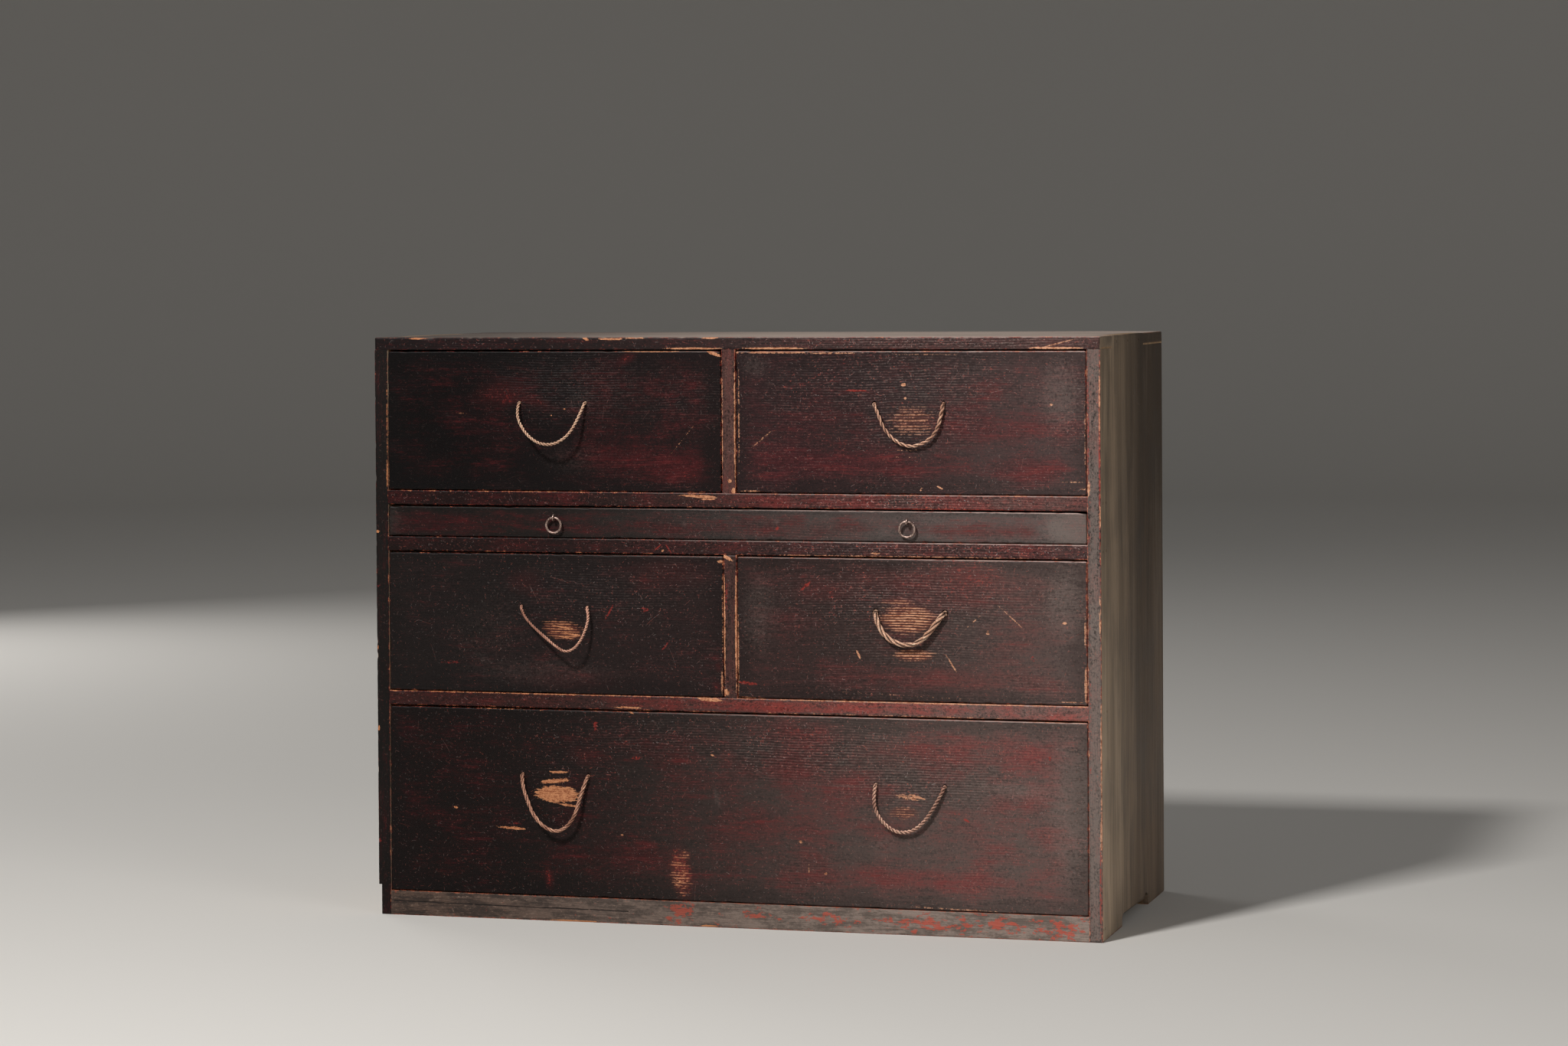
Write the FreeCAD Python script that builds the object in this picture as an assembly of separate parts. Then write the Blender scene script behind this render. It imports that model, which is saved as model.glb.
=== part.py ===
import FreeCAD, Part
import math
import os

# A free-standing chest of six drawers, made of jointed boards.
# The front faces -Y, +Z is up, and the origin lies on the floor under the middle of the case.
# All lengths are in millimetres.

# Whole case
WIDTH = 909.0
DEPTH = 404.0
RUNNING_GAP = 0.3
CUT_OVERRUN = 6.0

# Heights of the front, from the floor up
BASE_RAIL_H = 30.0
BOTTOM_BAY_H = 230.0
MIDDLE_BAY_H = 172.5
SHALLOW_BAY_H = 39.5
TOP_BAY_H = 173.0
RAIL_H = 17.4

# Boards of the case
SIDE_T = 16.2
TOP_T = 15.0
BOTTOM_T = 12.0
DUST_BOARD_T = 8.0
HOUSING_DEPTH = 5.0

# Box joints that tie the top board to the sides
FRONT_FINGER_L = 72.0
REAR_FINGER_L = 130.0

# Rails and their tenons
RAIL_DEPTH = 46.0
BASE_RAIL_DEPTH = 19.0
RAIL_REBATE = 9.0
TENON_L = 8.0
TENON_SHOULDER = 4.0

# Dividers between the paired drawers
UPPER_DIVIDER_T = 17.2
LOWER_DIVIDER_T = 16.4
LOWER_DIVIDER_SHIFT = 0.8
DIVIDER_TENON_L = 6.0
DIVIDER_TENON_T = 6.0
DIVIDER_TENON_DEPTH = 24.0
DIVIDER_TENON_SETBACK = 8.0

# Back planks, let into rebates of the sides
BACK_T = 8.0
BACK_LAP = 8.0
BACK_PLANK_COUNT = 5
BACK_PLANK_GAP = 0.4

# Arched cut that leaves a front and a rear foot under each side
FRONT_FOOT_L = 120.0
REAR_FOOT_L = 110.0
REAR_FOOT_SLANT = 4.0
ARCH_FRONT_H = 15.0
ARCH_REAR_H = 11.5
ARCH_CORNER_R = 10.0
NOTCH_H = 17.5
NOTCH_W = 26.0

# Worn outer corner of the left front foot
WORN_CORNER_W = 4.3
WORN_CORNER_L = 60.0
WORN_CORNER_H = 37.0

# Square wooden pegs that pin the joints of the case
PEG_SIZE = 3.0
PEG_L = 34.0
BACK_PEG_L = 24.0
BACK_PEG_EDGE = 4.0
BACK_PEG_INSET = 22.0

# Drawers
DRAWER_SIDE_GAP = 0.8
DRAWER_TOP_GAP = 2.1
DRAWER_FRONT_LIFT = 1.0
DRAWER_STOP_GAP = 0.5
FRONT_T = 18.0
FRONT_FACE_T = 8.0
FRONT_CORNER_R = 2.5
FRONT_EASE = 1.0
DRAWER_SIDE_T = 9.0
DRAWER_BACK_T = 9.0
DRAWER_BOTTOM_T = 6.0
DRAWER_SIDE_DROP = 4.0

# Cord pulls
PULL_SPAN = 84.6
CORD_HOLE_SLACK = 1.2
KNOT_TAIL_L = 7.0

# Ring pulls on split pins
RING_OUTER_D = 21.4
RING_WIRE_D = 2.8
RING_SPREAD = 442.8
EYE_WIRE_D = 2.0
EYE_CLEARANCE = 0.35
EYE_STAND_OFF = 5.0
PIN_D = 3.0
PIN_HOLE_CLEARANCE = 0.1
PIN_LEG_L = 12.0
PIN_LEG_T = 1.5

# Places given as shares of the piece that carries them
RAIL_PEG_SHARES = (0.3, 0.7)
FRONT_FINGER_PEG_SHARES = (0.3, 0.75)
MIDDLE_FINGER_PEG_SHARES = (0.15, 0.5, 0.85)
REAR_FINGER_PEG_SHARES = (0.25, 0.75)
CORNER_FINGER_SHARES = (0.32, 0.68)
RING_HEIGHT_SHARE = 0.646
KNOT_LENGTH_SHARE = 2.6
LEG_TIP_SHARE = 0.35

# Outline of a knot: share of its length from the front, then its radius as a share of the cord
KNOT_OUTLINE_SHARES = ((0, 1.0), (0.25, 1.4), (0.5, 1.15), (0.75, 1.4))

# A cord's bend takes this share of the shorter run beside it
BEND_SHARE = 0.45

# Levels and planes worked out from the sizes above
HALF_W = WIDTH / 2
INNER_X = HALF_W - SIDE_T
FRONT_Y = -DEPTH / 2
REAR_Y = DEPTH / 2
BACK_FACE_Y = REAR_Y - BACK_T
BOTTOM_BAY_Z = BASE_RAIL_H
LOWER_RAIL_Z = BOTTOM_BAY_Z + BOTTOM_BAY_H
MIDDLE_BAY_Z = LOWER_RAIL_Z + RAIL_H
MIDDLE_RAIL_Z = MIDDLE_BAY_Z + MIDDLE_BAY_H
SHALLOW_BAY_Z = MIDDLE_RAIL_Z + RAIL_H
UPPER_RAIL_Z = SHALLOW_BAY_Z + SHALLOW_BAY_H
TOP_BAY_Z = UPPER_RAIL_Z + RAIL_H
TOP_UNDERSIDE_Z = TOP_BAY_Z + TOP_BAY_H
HEIGHT = TOP_UNDERSIDE_Z + TOP_T

# Routes of the six cords: x along the front, y out of it and z, from the middle of the line
# that joins the centres of the two hole mouths. Each ends in its two mouths.
TOP_LEFT_ROUTE = [
    (-42.3, 0, 0), (-44, -5, -12), (-37, -12, -27), (-23, -19, -42), (-5, -22.5, -51),
    (14, -21.5, -49), (28.5, -17, -37), (37, -9, -18), (42.3, 0, 0)]
TOP_RIGHT_ROUTE = [
    (-42.3, 0, 0), (-36.5, -2, -13), (-30, -3, -29), (-18, -3.2, -43), (-1, -3, -51.5),
    (17, -3, -48.5), (32, -2.7, -37.5), (39.5, -1.6, -19), (42.3, 0, 0)]
MIDDLE_LEFT_ROUTE = [
    (-42.3, 0, 0), (-38, -5, -10), (-25, -10, -22.5), (-8, -14, -35), (7, -18, -46),
    (23, -20.5, -54.5), (37, -17, -45), (44.5, -10, -26), (46.5, -4, -10), (42.3, 0, 0)]
MIDDLE_RIGHT_ROUTE = [
    (-42.3, 0, 0), (-39, -2, -13), (-29, -3, -28.5), (-10.5, -3.5, -38.5), (9, -3.2, -37),
    (24, -2.6, -24), (34.5, -1.4, -9), (42.3, 0, 0)]
BOTTOM_LEFT_ROUTE = [
    (-42.3, 0, 0), (-40.5, -4, -14), (-33, -7, -31), (-26, -9, -46.5), (-13, -10.8, -61),
    (3.5, -11.2, -68), (18.5, -10.4, -62), (28.5, -8.6, -46.5), (33, -5.6, -28.5),
    (37.5, -2.8, -12.5), (42.3, 0, 0)]
BOTTOM_RIGHT_ROUTE = [
    (-42.3, 0, 0), (-44, -2, -14), (-42, -3, -30.5), (-31, -3.2, -46), (-15.5, -3.2, -56),
    (3.5, -3.1, -54), (17.5, -2.9, -42.5), (28, -2.4, -27.5), (37, -1.4, -12), (42.3, 0, 0)]

# Diameters of the cords
TOP_LEFT_CORD_D = 3.6
TOP_RIGHT_CORD_D = 4.4
MIDDLE_LEFT_CORD_D = 3.4
MIDDLE_RIGHT_CORD_D = 7.0
BOTTOM_LEFT_CORD_D = 4.6
BOTTOM_RIGHT_CORD_D = 4.6

# Heights of the pulls as shares of their bays, and the place of the two pulls of the
# bottom drawer as a share of half its bay
TOP_PULL_SHARE = 0.628
MIDDLE_PULL_SHARE = 0.619
BOTTOM_PULL_SHARE = 0.645
BOTTOM_PULL_SPREAD_SHARE = 0.508


def box(x0, x1, y0, y1, z0, z1):
    """A board or a cut between two corners."""
    return Part.makeBox(x1 - x0, y1 - y0, z1 - z0, FreeCAD.Vector(x0, y0, z0))


def between(low, high, share):
    """A place part of the way from low to high."""
    return low + (high - low) * share


def cut_all(blank, tools):
    """The blank with every tool taken out of it."""
    return blank.cut(Part.makeCompound(tools)).removeSplitter()


def single(shape):
    """The only solid of a shape."""
    return shape.Solids[0]


# Case: rails, shelves and dividers

def rail(z0, height, depth, rebate_t):
    """A front rail with a tenon at each end and a rebate for the board behind it."""
    body = box(-INNER_X, INNER_X, FRONT_Y, FRONT_Y + depth, z0, z0 + height)
    tenons = box(-INNER_X - TENON_L, INNER_X + TENON_L,
                 FRONT_Y + TENON_SHOULDER, FRONT_Y + depth - TENON_SHOULDER,
                 z0 + TENON_SHOULDER, z0 + height - TENON_SHOULDER)
    rebate = box(-WIDTH, WIDTH, FRONT_Y + depth - RAIL_REBATE, FRONT_Y + depth + CUT_OVERRUN,
                 z0 + height - rebate_t, z0 + height + CUT_OVERRUN)
    return body.fuse(tenons).cut(rebate).removeSplitter()


def shelf(z_top, thickness, rail_depth):
    """A full-width board behind a rail, housed in both sides."""
    return box(-INNER_X - HOUSING_DEPTH, INNER_X + HOUSING_DEPTH,
               FRONT_Y + rail_depth - RAIL_REBATE, BACK_FACE_Y,
               z_top - thickness, z_top)


def divider_tenon(x_mid, z0, z1):
    """A stub tenon behind the front edge of a divider."""
    y0 = FRONT_Y + DIVIDER_TENON_SETBACK
    return box(x_mid - DIVIDER_TENON_T / 2, x_mid + DIVIDER_TENON_T / 2,
               y0, y0 + DIVIDER_TENON_DEPTH, z0, z1)


def upper_divider():
    """The upright between the two top drawers."""
    board = box(-UPPER_DIVIDER_T / 2, UPPER_DIVIDER_T / 2, FRONT_Y, BACK_FACE_Y,
                TOP_BAY_Z, TOP_UNDERSIDE_Z)
    tenon = divider_tenon(0, TOP_BAY_Z - DIVIDER_TENON_L, TOP_UNDERSIDE_Z + DIVIDER_TENON_L)
    return board.fuse(tenon).removeSplitter()


def lower_divider():
    """The upright between the two middle drawers, taller behind the rail above it."""
    x_mid = LOWER_DIVIDER_SHIFT
    x0 = x_mid - LOWER_DIVIDER_T / 2
    x1 = x_mid + LOWER_DIVIDER_T / 2
    front = box(x0, x1, FRONT_Y, BACK_FACE_Y, MIDDLE_BAY_Z, MIDDLE_RAIL_Z)
    rear = box(x0, x1, FRONT_Y + RAIL_DEPTH, BACK_FACE_Y,
               MIDDLE_BAY_Z, SHALLOW_BAY_Z - DUST_BOARD_T)
    tenon = divider_tenon(x_mid, MIDDLE_BAY_Z - DIVIDER_TENON_L, MIDDLE_RAIL_Z + DIVIDER_TENON_L)
    return front.fuse([rear, tenon]).removeSplitter()


def back_planks():
    """Level planks that fill the back, from under the bottom board to the top board."""
    z_low = BASE_RAIL_H - BOTTOM_T
    pitch = (TOP_UNDERSIDE_Z - z_low) / BACK_PLANK_COUNT
    reach = INNER_X + BACK_LAP
    planks = []
    for index in range(BACK_PLANK_COUNT):
        z0 = z_low + index * pitch
        joint = BACK_PLANK_GAP if index < BACK_PLANK_COUNT - 1 else 0
        planks.append(box(-reach, reach, BACK_FACE_Y, REAR_Y, z0, z0 + pitch - joint))
    return planks


# Case: sides and top

def foot_arch(x0, x1):
    """The arched cut between the front and the rear foot, through one side."""
    y_front = FRONT_Y + FRONT_FOOT_L
    y_rear = REAR_Y - REAR_FOOT_L
    notch_end = y_rear - REAR_FOOT_SLANT
    notch_start = notch_end - NOTCH_W
    below = -CUT_OVERRUN
    corner_mid = ARCH_CORNER_R * (1 - math.sqrt(0.5))

    def point(y, z):
        return FreeCAD.Vector(x0, y, z)

    def line(a, b):
        return Part.makeLine(a, b)

    def arc(a, b, c):
        return Part.Arc(a, b, c).toShape()

    a = point(y_front, below)
    b = point(y_front, ARCH_FRONT_H - ARCH_CORNER_R)
    c = point(y_front + corner_mid, ARCH_FRONT_H - corner_mid)
    d = point(y_front + ARCH_CORNER_R, ARCH_FRONT_H)
    e = point(notch_start, ARCH_REAR_H)
    f = point((notch_start + notch_end) / 2, NOTCH_H)
    g = point(notch_end, ARCH_REAR_H)
    h = point(y_rear, 0)
    i = point(y_rear, below)
    edges = [line(a, b), arc(b, c, d), line(d, e), arc(e, f, g), line(g, h), line(h, i), line(i, a)]
    return Part.Face(Part.Wire(edges)).extrude(FreeCAD.Vector(x1 - x0, 0, 0))


def worn_corner():
    """The wedge that wear has taken from the outer corner of the left front foot."""
    corner = FreeCAD.Vector(-HALF_W, FRONT_Y, 0)
    across = FreeCAD.Vector(-HALF_W + WORN_CORNER_W, FRONT_Y, 0)
    along = FreeCAD.Vector(-HALF_W, FRONT_Y + WORN_CORNER_L, 0)
    wedge = Part.Face(Part.makePolygon([corner, across, along, corner]))
    return wedge.extrude(FreeCAD.Vector(0, 0, WORN_CORNER_H))


def side_board(sign):
    """One side with its middle finger, back rebate and feet; sign is -1 left, 1 right."""
    x0, x1 = sorted((sign * INNER_X, sign * HALF_W))
    board = box(x0, x1, FRONT_Y, REAR_Y, 0, HEIGHT)
    over = CUT_OVERRUN
    cuts = [
        box(x0 - over, x1 + over, FRONT_Y - over, FRONT_Y + FRONT_FINGER_L,
            TOP_UNDERSIDE_Z, HEIGHT + over),
        box(x0 - over, x1 + over, REAR_Y - REAR_FINGER_L, REAR_Y + over,
            TOP_UNDERSIDE_Z, HEIGHT + over),
        box(-INNER_X - BACK_LAP, INNER_X + BACK_LAP, BACK_FACE_Y, REAR_Y + over,
            BASE_RAIL_H - BOTTOM_T, TOP_UNDERSIDE_Z),
        foot_arch(x0 - over, x1 + over)]
    if sign < 0:
        cuts.append(worn_corner())
    return cut_all(board, cuts)


def top_board():
    """The top, whose front and rear fingers lie over the sides."""
    front = box(-HALF_W, HALF_W, FRONT_Y, FRONT_Y + FRONT_FINGER_L, TOP_UNDERSIDE_Z, HEIGHT)
    middle = box(-INNER_X, INNER_X, FRONT_Y, REAR_Y, TOP_UNDERSIDE_Z, HEIGHT)
    rear = box(-HALF_W, HALF_W, REAR_Y - REAR_FINGER_L, REAR_Y, TOP_UNDERSIDE_Z, HEIGHT)
    return front.fuse([middle, rear]).removeSplitter()


# Case: pegs

def side_peg(sign, y, z):
    """A peg driven level through a side, its head flush with the outer face."""
    x0, x1 = sorted((sign * HALF_W, sign * (HALF_W - PEG_L)))
    half = PEG_SIZE / 2
    return box(x0, x1, y - half, y + half, z - half, z + half)


def top_peg(sign, y):
    """A peg driven down through a finger of the top board into a side."""
    x = sign * (HALF_W - SIDE_T / 2)
    half = PEG_SIZE / 2
    return box(x - half, x + half, y - half, y + half, HEIGHT - PEG_L, HEIGHT)


def back_peg(sign, z):
    """A peg driven through a back plank into the rebate of a side."""
    x = sign * (INNER_X + BACK_PEG_EDGE)
    half = PEG_SIZE / 2
    return box(x - half, x + half, REAR_Y - BACK_PEG_L, REAR_Y, z - half, z + half)


def case_pegs(planks):
    """All the pegs of the case."""
    pegs = []
    rail_levels = [
        (BASE_RAIL_H / 2, BASE_RAIL_DEPTH),
        (LOWER_RAIL_Z + RAIL_H / 2, RAIL_DEPTH),
        (MIDDLE_RAIL_Z + RAIL_H / 2, RAIL_DEPTH),
        (UPPER_RAIL_Z + RAIL_H / 2, RAIL_DEPTH)]
    rear_finger_y = REAR_Y - REAR_FINGER_L
    for sign in (-1, 1):
        for z, depth in rail_levels:
            for share in RAIL_PEG_SHARES:
                pegs.append(side_peg(sign, between(FRONT_Y, FRONT_Y + depth, share), z))
        for share in MIDDLE_FINGER_PEG_SHARES:
            y = between(FRONT_Y + FRONT_FINGER_L, rear_finger_y, share)
            pegs.append(side_peg(sign, y, TOP_UNDERSIDE_Z + TOP_T / 2))
        for share in FRONT_FINGER_PEG_SHARES:
            pegs.append(top_peg(sign, between(FRONT_Y, FRONT_Y + FRONT_FINGER_L, share)))
        for share in REAR_FINGER_PEG_SHARES:
            pegs.append(top_peg(sign, between(rear_finger_y, BACK_FACE_Y, share)))
        for plank in planks:
            pegs.append(back_peg(sign, plank.BoundBox.ZMin + BACK_PEG_INSET))
            pegs.append(back_peg(sign, plank.BoundBox.ZMax - BACK_PEG_INSET))
    return pegs


def build_case():
    """The named boards of the case, each seated in the ones that carry it."""
    planks = back_planks()
    pegs = case_pegs(planks)
    upright_top = upper_divider()
    upright_low = lower_divider()
    rails = {
        "base_rail": rail(0, BASE_RAIL_H, BASE_RAIL_DEPTH, BOTTOM_T),
        "lower_rail": rail(LOWER_RAIL_Z, RAIL_H, RAIL_DEPTH, DUST_BOARD_T),
        "middle_rail": rail(MIDDLE_RAIL_Z, RAIL_H, RAIL_DEPTH, DUST_BOARD_T),
        "upper_rail": rail(UPPER_RAIL_Z, RAIL_H, RAIL_DEPTH, DUST_BOARD_T)}
    shelves = {
        "bottom_board": shelf(BASE_RAIL_H, BOTTOM_T, BASE_RAIL_DEPTH),
        "lower_dust_board": shelf(MIDDLE_BAY_Z, DUST_BOARD_T, RAIL_DEPTH),
        "middle_dust_board": shelf(SHALLOW_BAY_Z, DUST_BOARD_T, RAIL_DEPTH),
        "upper_dust_board": shelf(TOP_BAY_Z, DUST_BOARD_T, RAIL_DEPTH)}
    nodes = {}
    for name, board in rails.items():
        nodes[name] = single(cut_all(board, [upright_top, upright_low] + pegs))
    for name, board in shelves.items():
        nodes[name] = single(board)
    seated = list(rails.values()) + list(shelves.values()) + pegs
    nodes["left_side_board"] = single(cut_all(side_board(-1), seated))
    nodes["right_side_board"] = single(cut_all(side_board(1), seated))
    nodes["top_board"] = single(cut_all(top_board(), [upright_top] + pegs))
    nodes["upper_divider"] = single(upright_top)
    nodes["lower_divider"] = single(upright_low)
    nodes["back_planks"] = Part.makeCompound([single(cut_all(plank, pegs)) for plank in planks])
    nodes["case_pegs"] = Part.makeCompound(pegs)
    return nodes


# Drawers

def corner_fingers(z0, z1):
    """The two levels that part a corner into its lower, middle and upper finger."""
    return [between(z0, z1, share) for share in CORNER_FINGER_SHARES]


class Drawer:
    """The planes of one drawer, from the bay that holds it."""

    def __init__(self, name, bay_x0, bay_x1, bay_z, bay_h):
        self.name = name
        self.x0 = bay_x0 + DRAWER_SIDE_GAP
        self.x1 = bay_x1 - DRAWER_SIDE_GAP
        self.front_z0 = bay_z + DRAWER_FRONT_LIFT
        self.front_z1 = bay_z + bay_h - DRAWER_TOP_GAP
        self.under_z = bay_z + RUNNING_GAP
        self.floor_z = self.under_z + DRAWER_BOTTOM_T
        self.side_z1 = self.front_z1 - DRAWER_SIDE_DROP
        self.seat_y = FRONT_Y + FRONT_FACE_T
        self.inner_y = FRONT_Y + FRONT_T
        self.rear_y = BACK_FACE_Y - DRAWER_STOP_GAP

    def side(self, sign):
        """A side with two fingers at each end; sign is -1 left, 1 right."""
        outer = self.x0 if sign < 0 else self.x1
        x0, x1 = sorted((outer, outer - sign * DRAWER_SIDE_T))
        board = box(x0, x1, self.seat_y, self.rear_y, self.floor_z, self.side_z1)
        low, high = corner_fingers(self.floor_z, self.side_z1)
        over = CUT_OVERRUN
        front_gap = box(x0 - over, x1 + over, self.seat_y - over, self.inner_y, low, high)
        rear_gap = box(x0 - over, x1 + over, self.rear_y - DRAWER_BACK_T, self.rear_y + over,
                       low, high)
        return single(cut_all(board, [front_gap, rear_gap]))

    def back(self):
        """The back with one finger at each end, between the fingers of the sides."""
        y0 = self.rear_y - DRAWER_BACK_T
        low, high = corner_fingers(self.floor_z, self.side_z1)
        board = box(self.x0 + DRAWER_SIDE_T, self.x1 - DRAWER_SIDE_T, y0, self.rear_y,
                    self.floor_z, self.side_z1)
        finger = box(self.x0, self.x1, y0, self.rear_y, low, high)
        return single(board.fuse(finger).removeSplitter())

    def bottom(self):
        """The bottom under the sides and the back, let into the front."""
        return single(box(self.x0, self.x1, self.seat_y, self.rear_y, self.under_z, self.floor_z))

    def front(self, let_in):
        """The front with eased arrises, cut for all that is let into it."""
        slab = box(self.x0, self.x1, FRONT_Y, self.inner_y, self.front_z0, self.front_z1)
        corners = [edge for edge in slab.Edges if abs(edge.tangentAt(edge.FirstParameter).y) > 0.5]
        rounded = slab.makeFillet(FRONT_CORNER_R, corners)
        rim = [edge for edge in rounded.Edges if edge.BoundBox.YMax < FRONT_Y + FRONT_EASE / 2]
        eased = rounded.makeChamfer(FRONT_EASE, rim)
        return single(cut_all(eased, let_in))


def build_drawer(drawer, holes):
    """The five boards of a drawer; holes are the bores through its front."""
    sides = {"left": drawer.side(-1), "right": drawer.side(1)}
    bottom = drawer.bottom()
    return {
        drawer.name + "_front": drawer.front(list(sides.values()) + [bottom] + holes),
        drawer.name + "_left_side": sides["left"],
        drawer.name + "_right_side": sides["right"],
        drawer.name + "_back": drawer.back(),
        drawer.name + "_bottom": bottom}


# Cord pulls

def cord_path(points, label):
    """Straight runs joined by tangent arcs, as large as the runs allow."""
    edges = []
    start = points[0]
    radii = []
    for before, corner, after in zip(points, points[1:], points[2:]):
        back = before - corner
        ahead = after - corner
        half_turn = (math.pi - back.getAngle(ahead)) / 2
        reach = BEND_SHARE * min(back.Length, ahead.Length)
        radii.append(reach / math.tan(half_turn))
        first = corner + back.normalize() * reach
        last = corner + ahead.normalize() * reach
        middle_dir = (first + last) * 0.5 - corner
        bulge = radii[-1] / math.cos(half_turn) - radii[-1]
        middle = corner + middle_dir.normalize() * bulge
        edges.append(Part.LineSegment(start, first).toShape())
        edges.append(Part.Arc(first, middle, last).toShape())
        start = last
    edges.append(Part.LineSegment(start, points[-1]).toShape())
    print(label, "bend radii", [round(radius, 1) for radius in radii])
    return Part.Wire(edges)


def cord_tube(points, diameter, label):
    """The cord as a round tube along its route, with rounded ends that turn in the mouths."""
    path = cord_path(points, label)
    start_dir = points[1] - points[0]
    end_dir = points[-1] - points[-2]
    section = Part.Wire(Part.makeCircle(diameter / 2, points[0], start_dir))
    tube = path.makePipeShell([section], True, False)
    expected = math.pi * diameter ** 2 / 4 * path.Length
    print(label, "length", round(path.Length, 1), "volume over section times length",
          round(tube.Volume / expected, 4))
    caps = []
    for place, direction in ((points[0], start_dir * -1), (points[-1], end_dir)):
        caps.append(Part.makeSphere(diameter / 2, place, direction, 0, 90, 360))
    return single(tube.fuse(caps))


class CordPull:
    """One cord through two holes of a drawer front, knotted behind it."""

    def __init__(self, name, route, diameter, x_mid, z_mouth):
        self.name = name
        self.diameter = diameter
        self.mouth_y = FRONT_Y - RUNNING_GAP - diameter / 2
        self.z = z_mouth
        self.hole_xs = (x_mid - PULL_SPAN / 2, x_mid + PULL_SPAN / 2)
        self.points = [FreeCAD.Vector(x_mid + x, self.mouth_y + y, z_mouth + z)
                       for x, y, z in route]

    def holes(self):
        """The two bores through the front."""
        radius = (self.diameter + CORD_HOLE_SLACK) / 2
        length = FRONT_T + CUT_OVERRUN * 2
        along = FreeCAD.Vector(0, 1, 0)
        return [Part.makeCylinder(radius, length,
                                  FreeCAD.Vector(x, FRONT_Y - CUT_OVERRUN, self.z), along)
                for x in self.hole_xs]

    def knots(self):
        """The stretches inside the holes, each with the knot that holds it behind the front."""
        d = self.diameter
        seat_y = FRONT_Y + FRONT_T
        length = d * KNOT_LENGTH_SHARE
        knot_end_y = seat_y + length
        tail_y = knot_end_y + KNOT_TAIL_L
        steps = [(0, FRONT_Y), (d / 2, FRONT_Y), (d / 2, seat_y)]
        for along_share, radius_share in KNOT_OUTLINE_SHARES:
            steps.append((d * radius_share, seat_y + length * along_share))
        steps += [(d / 2, knot_end_y), (d / 2, tail_y), (0, tail_y), (0, FRONT_Y)]
        knots = []
        for x in self.hole_xs:
            outline = Part.makePolygon([FreeCAD.Vector(x + radius, y, self.z)
                                        for radius, y in steps])
            axis_at = FreeCAD.Vector(x, FRONT_Y, self.z)
            knots.append(single(Part.Face(outline).revolve(axis_at, FreeCAD.Vector(0, 1, 0), 360)))
        return Part.makeCompound(knots)

    def nodes(self):
        """The loop in front and the knots behind."""
        return {
            self.name + "_loop": cord_tube(self.points, self.diameter, self.name),
            self.name + "_knots": self.knots()}


# Ring pulls

class RingPull:
    """A wire ring that hangs in the eye of a split pin."""

    def __init__(self, x):
        self.x = x
        self.z = SHALLOW_BAY_Z + SHALLOW_BAY_H * RING_HEIGHT_SHARE
        self.y = FRONT_Y - EYE_STAND_OFF

    def ring(self):
        """The ring, hanging from the middle of the eye."""
        radius = (RING_OUTER_D - RING_WIRE_D) / 2
        centre = FreeCAD.Vector(self.x, self.y, self.z - radius)
        return Part.makeTorus(radius, RING_WIRE_D / 2, centre, FreeCAD.Vector(0, 1, 0))

    def hole(self):
        """The bore for the pin."""
        return Part.makeCylinder(PIN_D / 2 + PIN_HOLE_CLEARANCE, FRONT_T + CUT_OVERRUN * 2,
                                 FreeCAD.Vector(self.x, FRONT_Y - CUT_OVERRUN, self.z),
                                 FreeCAD.Vector(0, 1, 0))

    def pin(self):
        """The eye, the shank and the two legs that are bent flat behind the front."""
        eye_r = RING_WIRE_D / 2 + EYE_CLEARANCE + EYE_WIRE_D / 2
        eye = Part.makeTorus(eye_r, EYE_WIRE_D / 2, FreeCAD.Vector(self.x, self.y, self.z),
                             FreeCAD.Vector(1, 0, 0))
        inner_y = FRONT_Y + FRONT_T
        shank_y = self.y + eye_r
        shank = Part.makeCylinder(PIN_D / 2, inner_y + PIN_LEG_T - shank_y,
                                  FreeCAD.Vector(self.x, shank_y, self.z),
                                  FreeCAD.Vector(0, 1, 0))
        legs = []
        for sign in (-1, 1):
            half = PIN_D / 2
            tip = half * LEG_TIP_SHARE
            z_tip = self.z + sign * PIN_LEG_L
            corners = [(-half, self.z), (half, self.z), (tip, z_tip), (-tip, z_tip), (-half, self.z)]
            outline = Part.makePolygon([FreeCAD.Vector(self.x + dx, inner_y, z)
                                        for dx, z in corners])
            legs.append(Part.Face(outline).extrude(FreeCAD.Vector(0, PIN_LEG_T, 0)))
        return single(eye.fuse([shank] + legs).removeSplitter())


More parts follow.
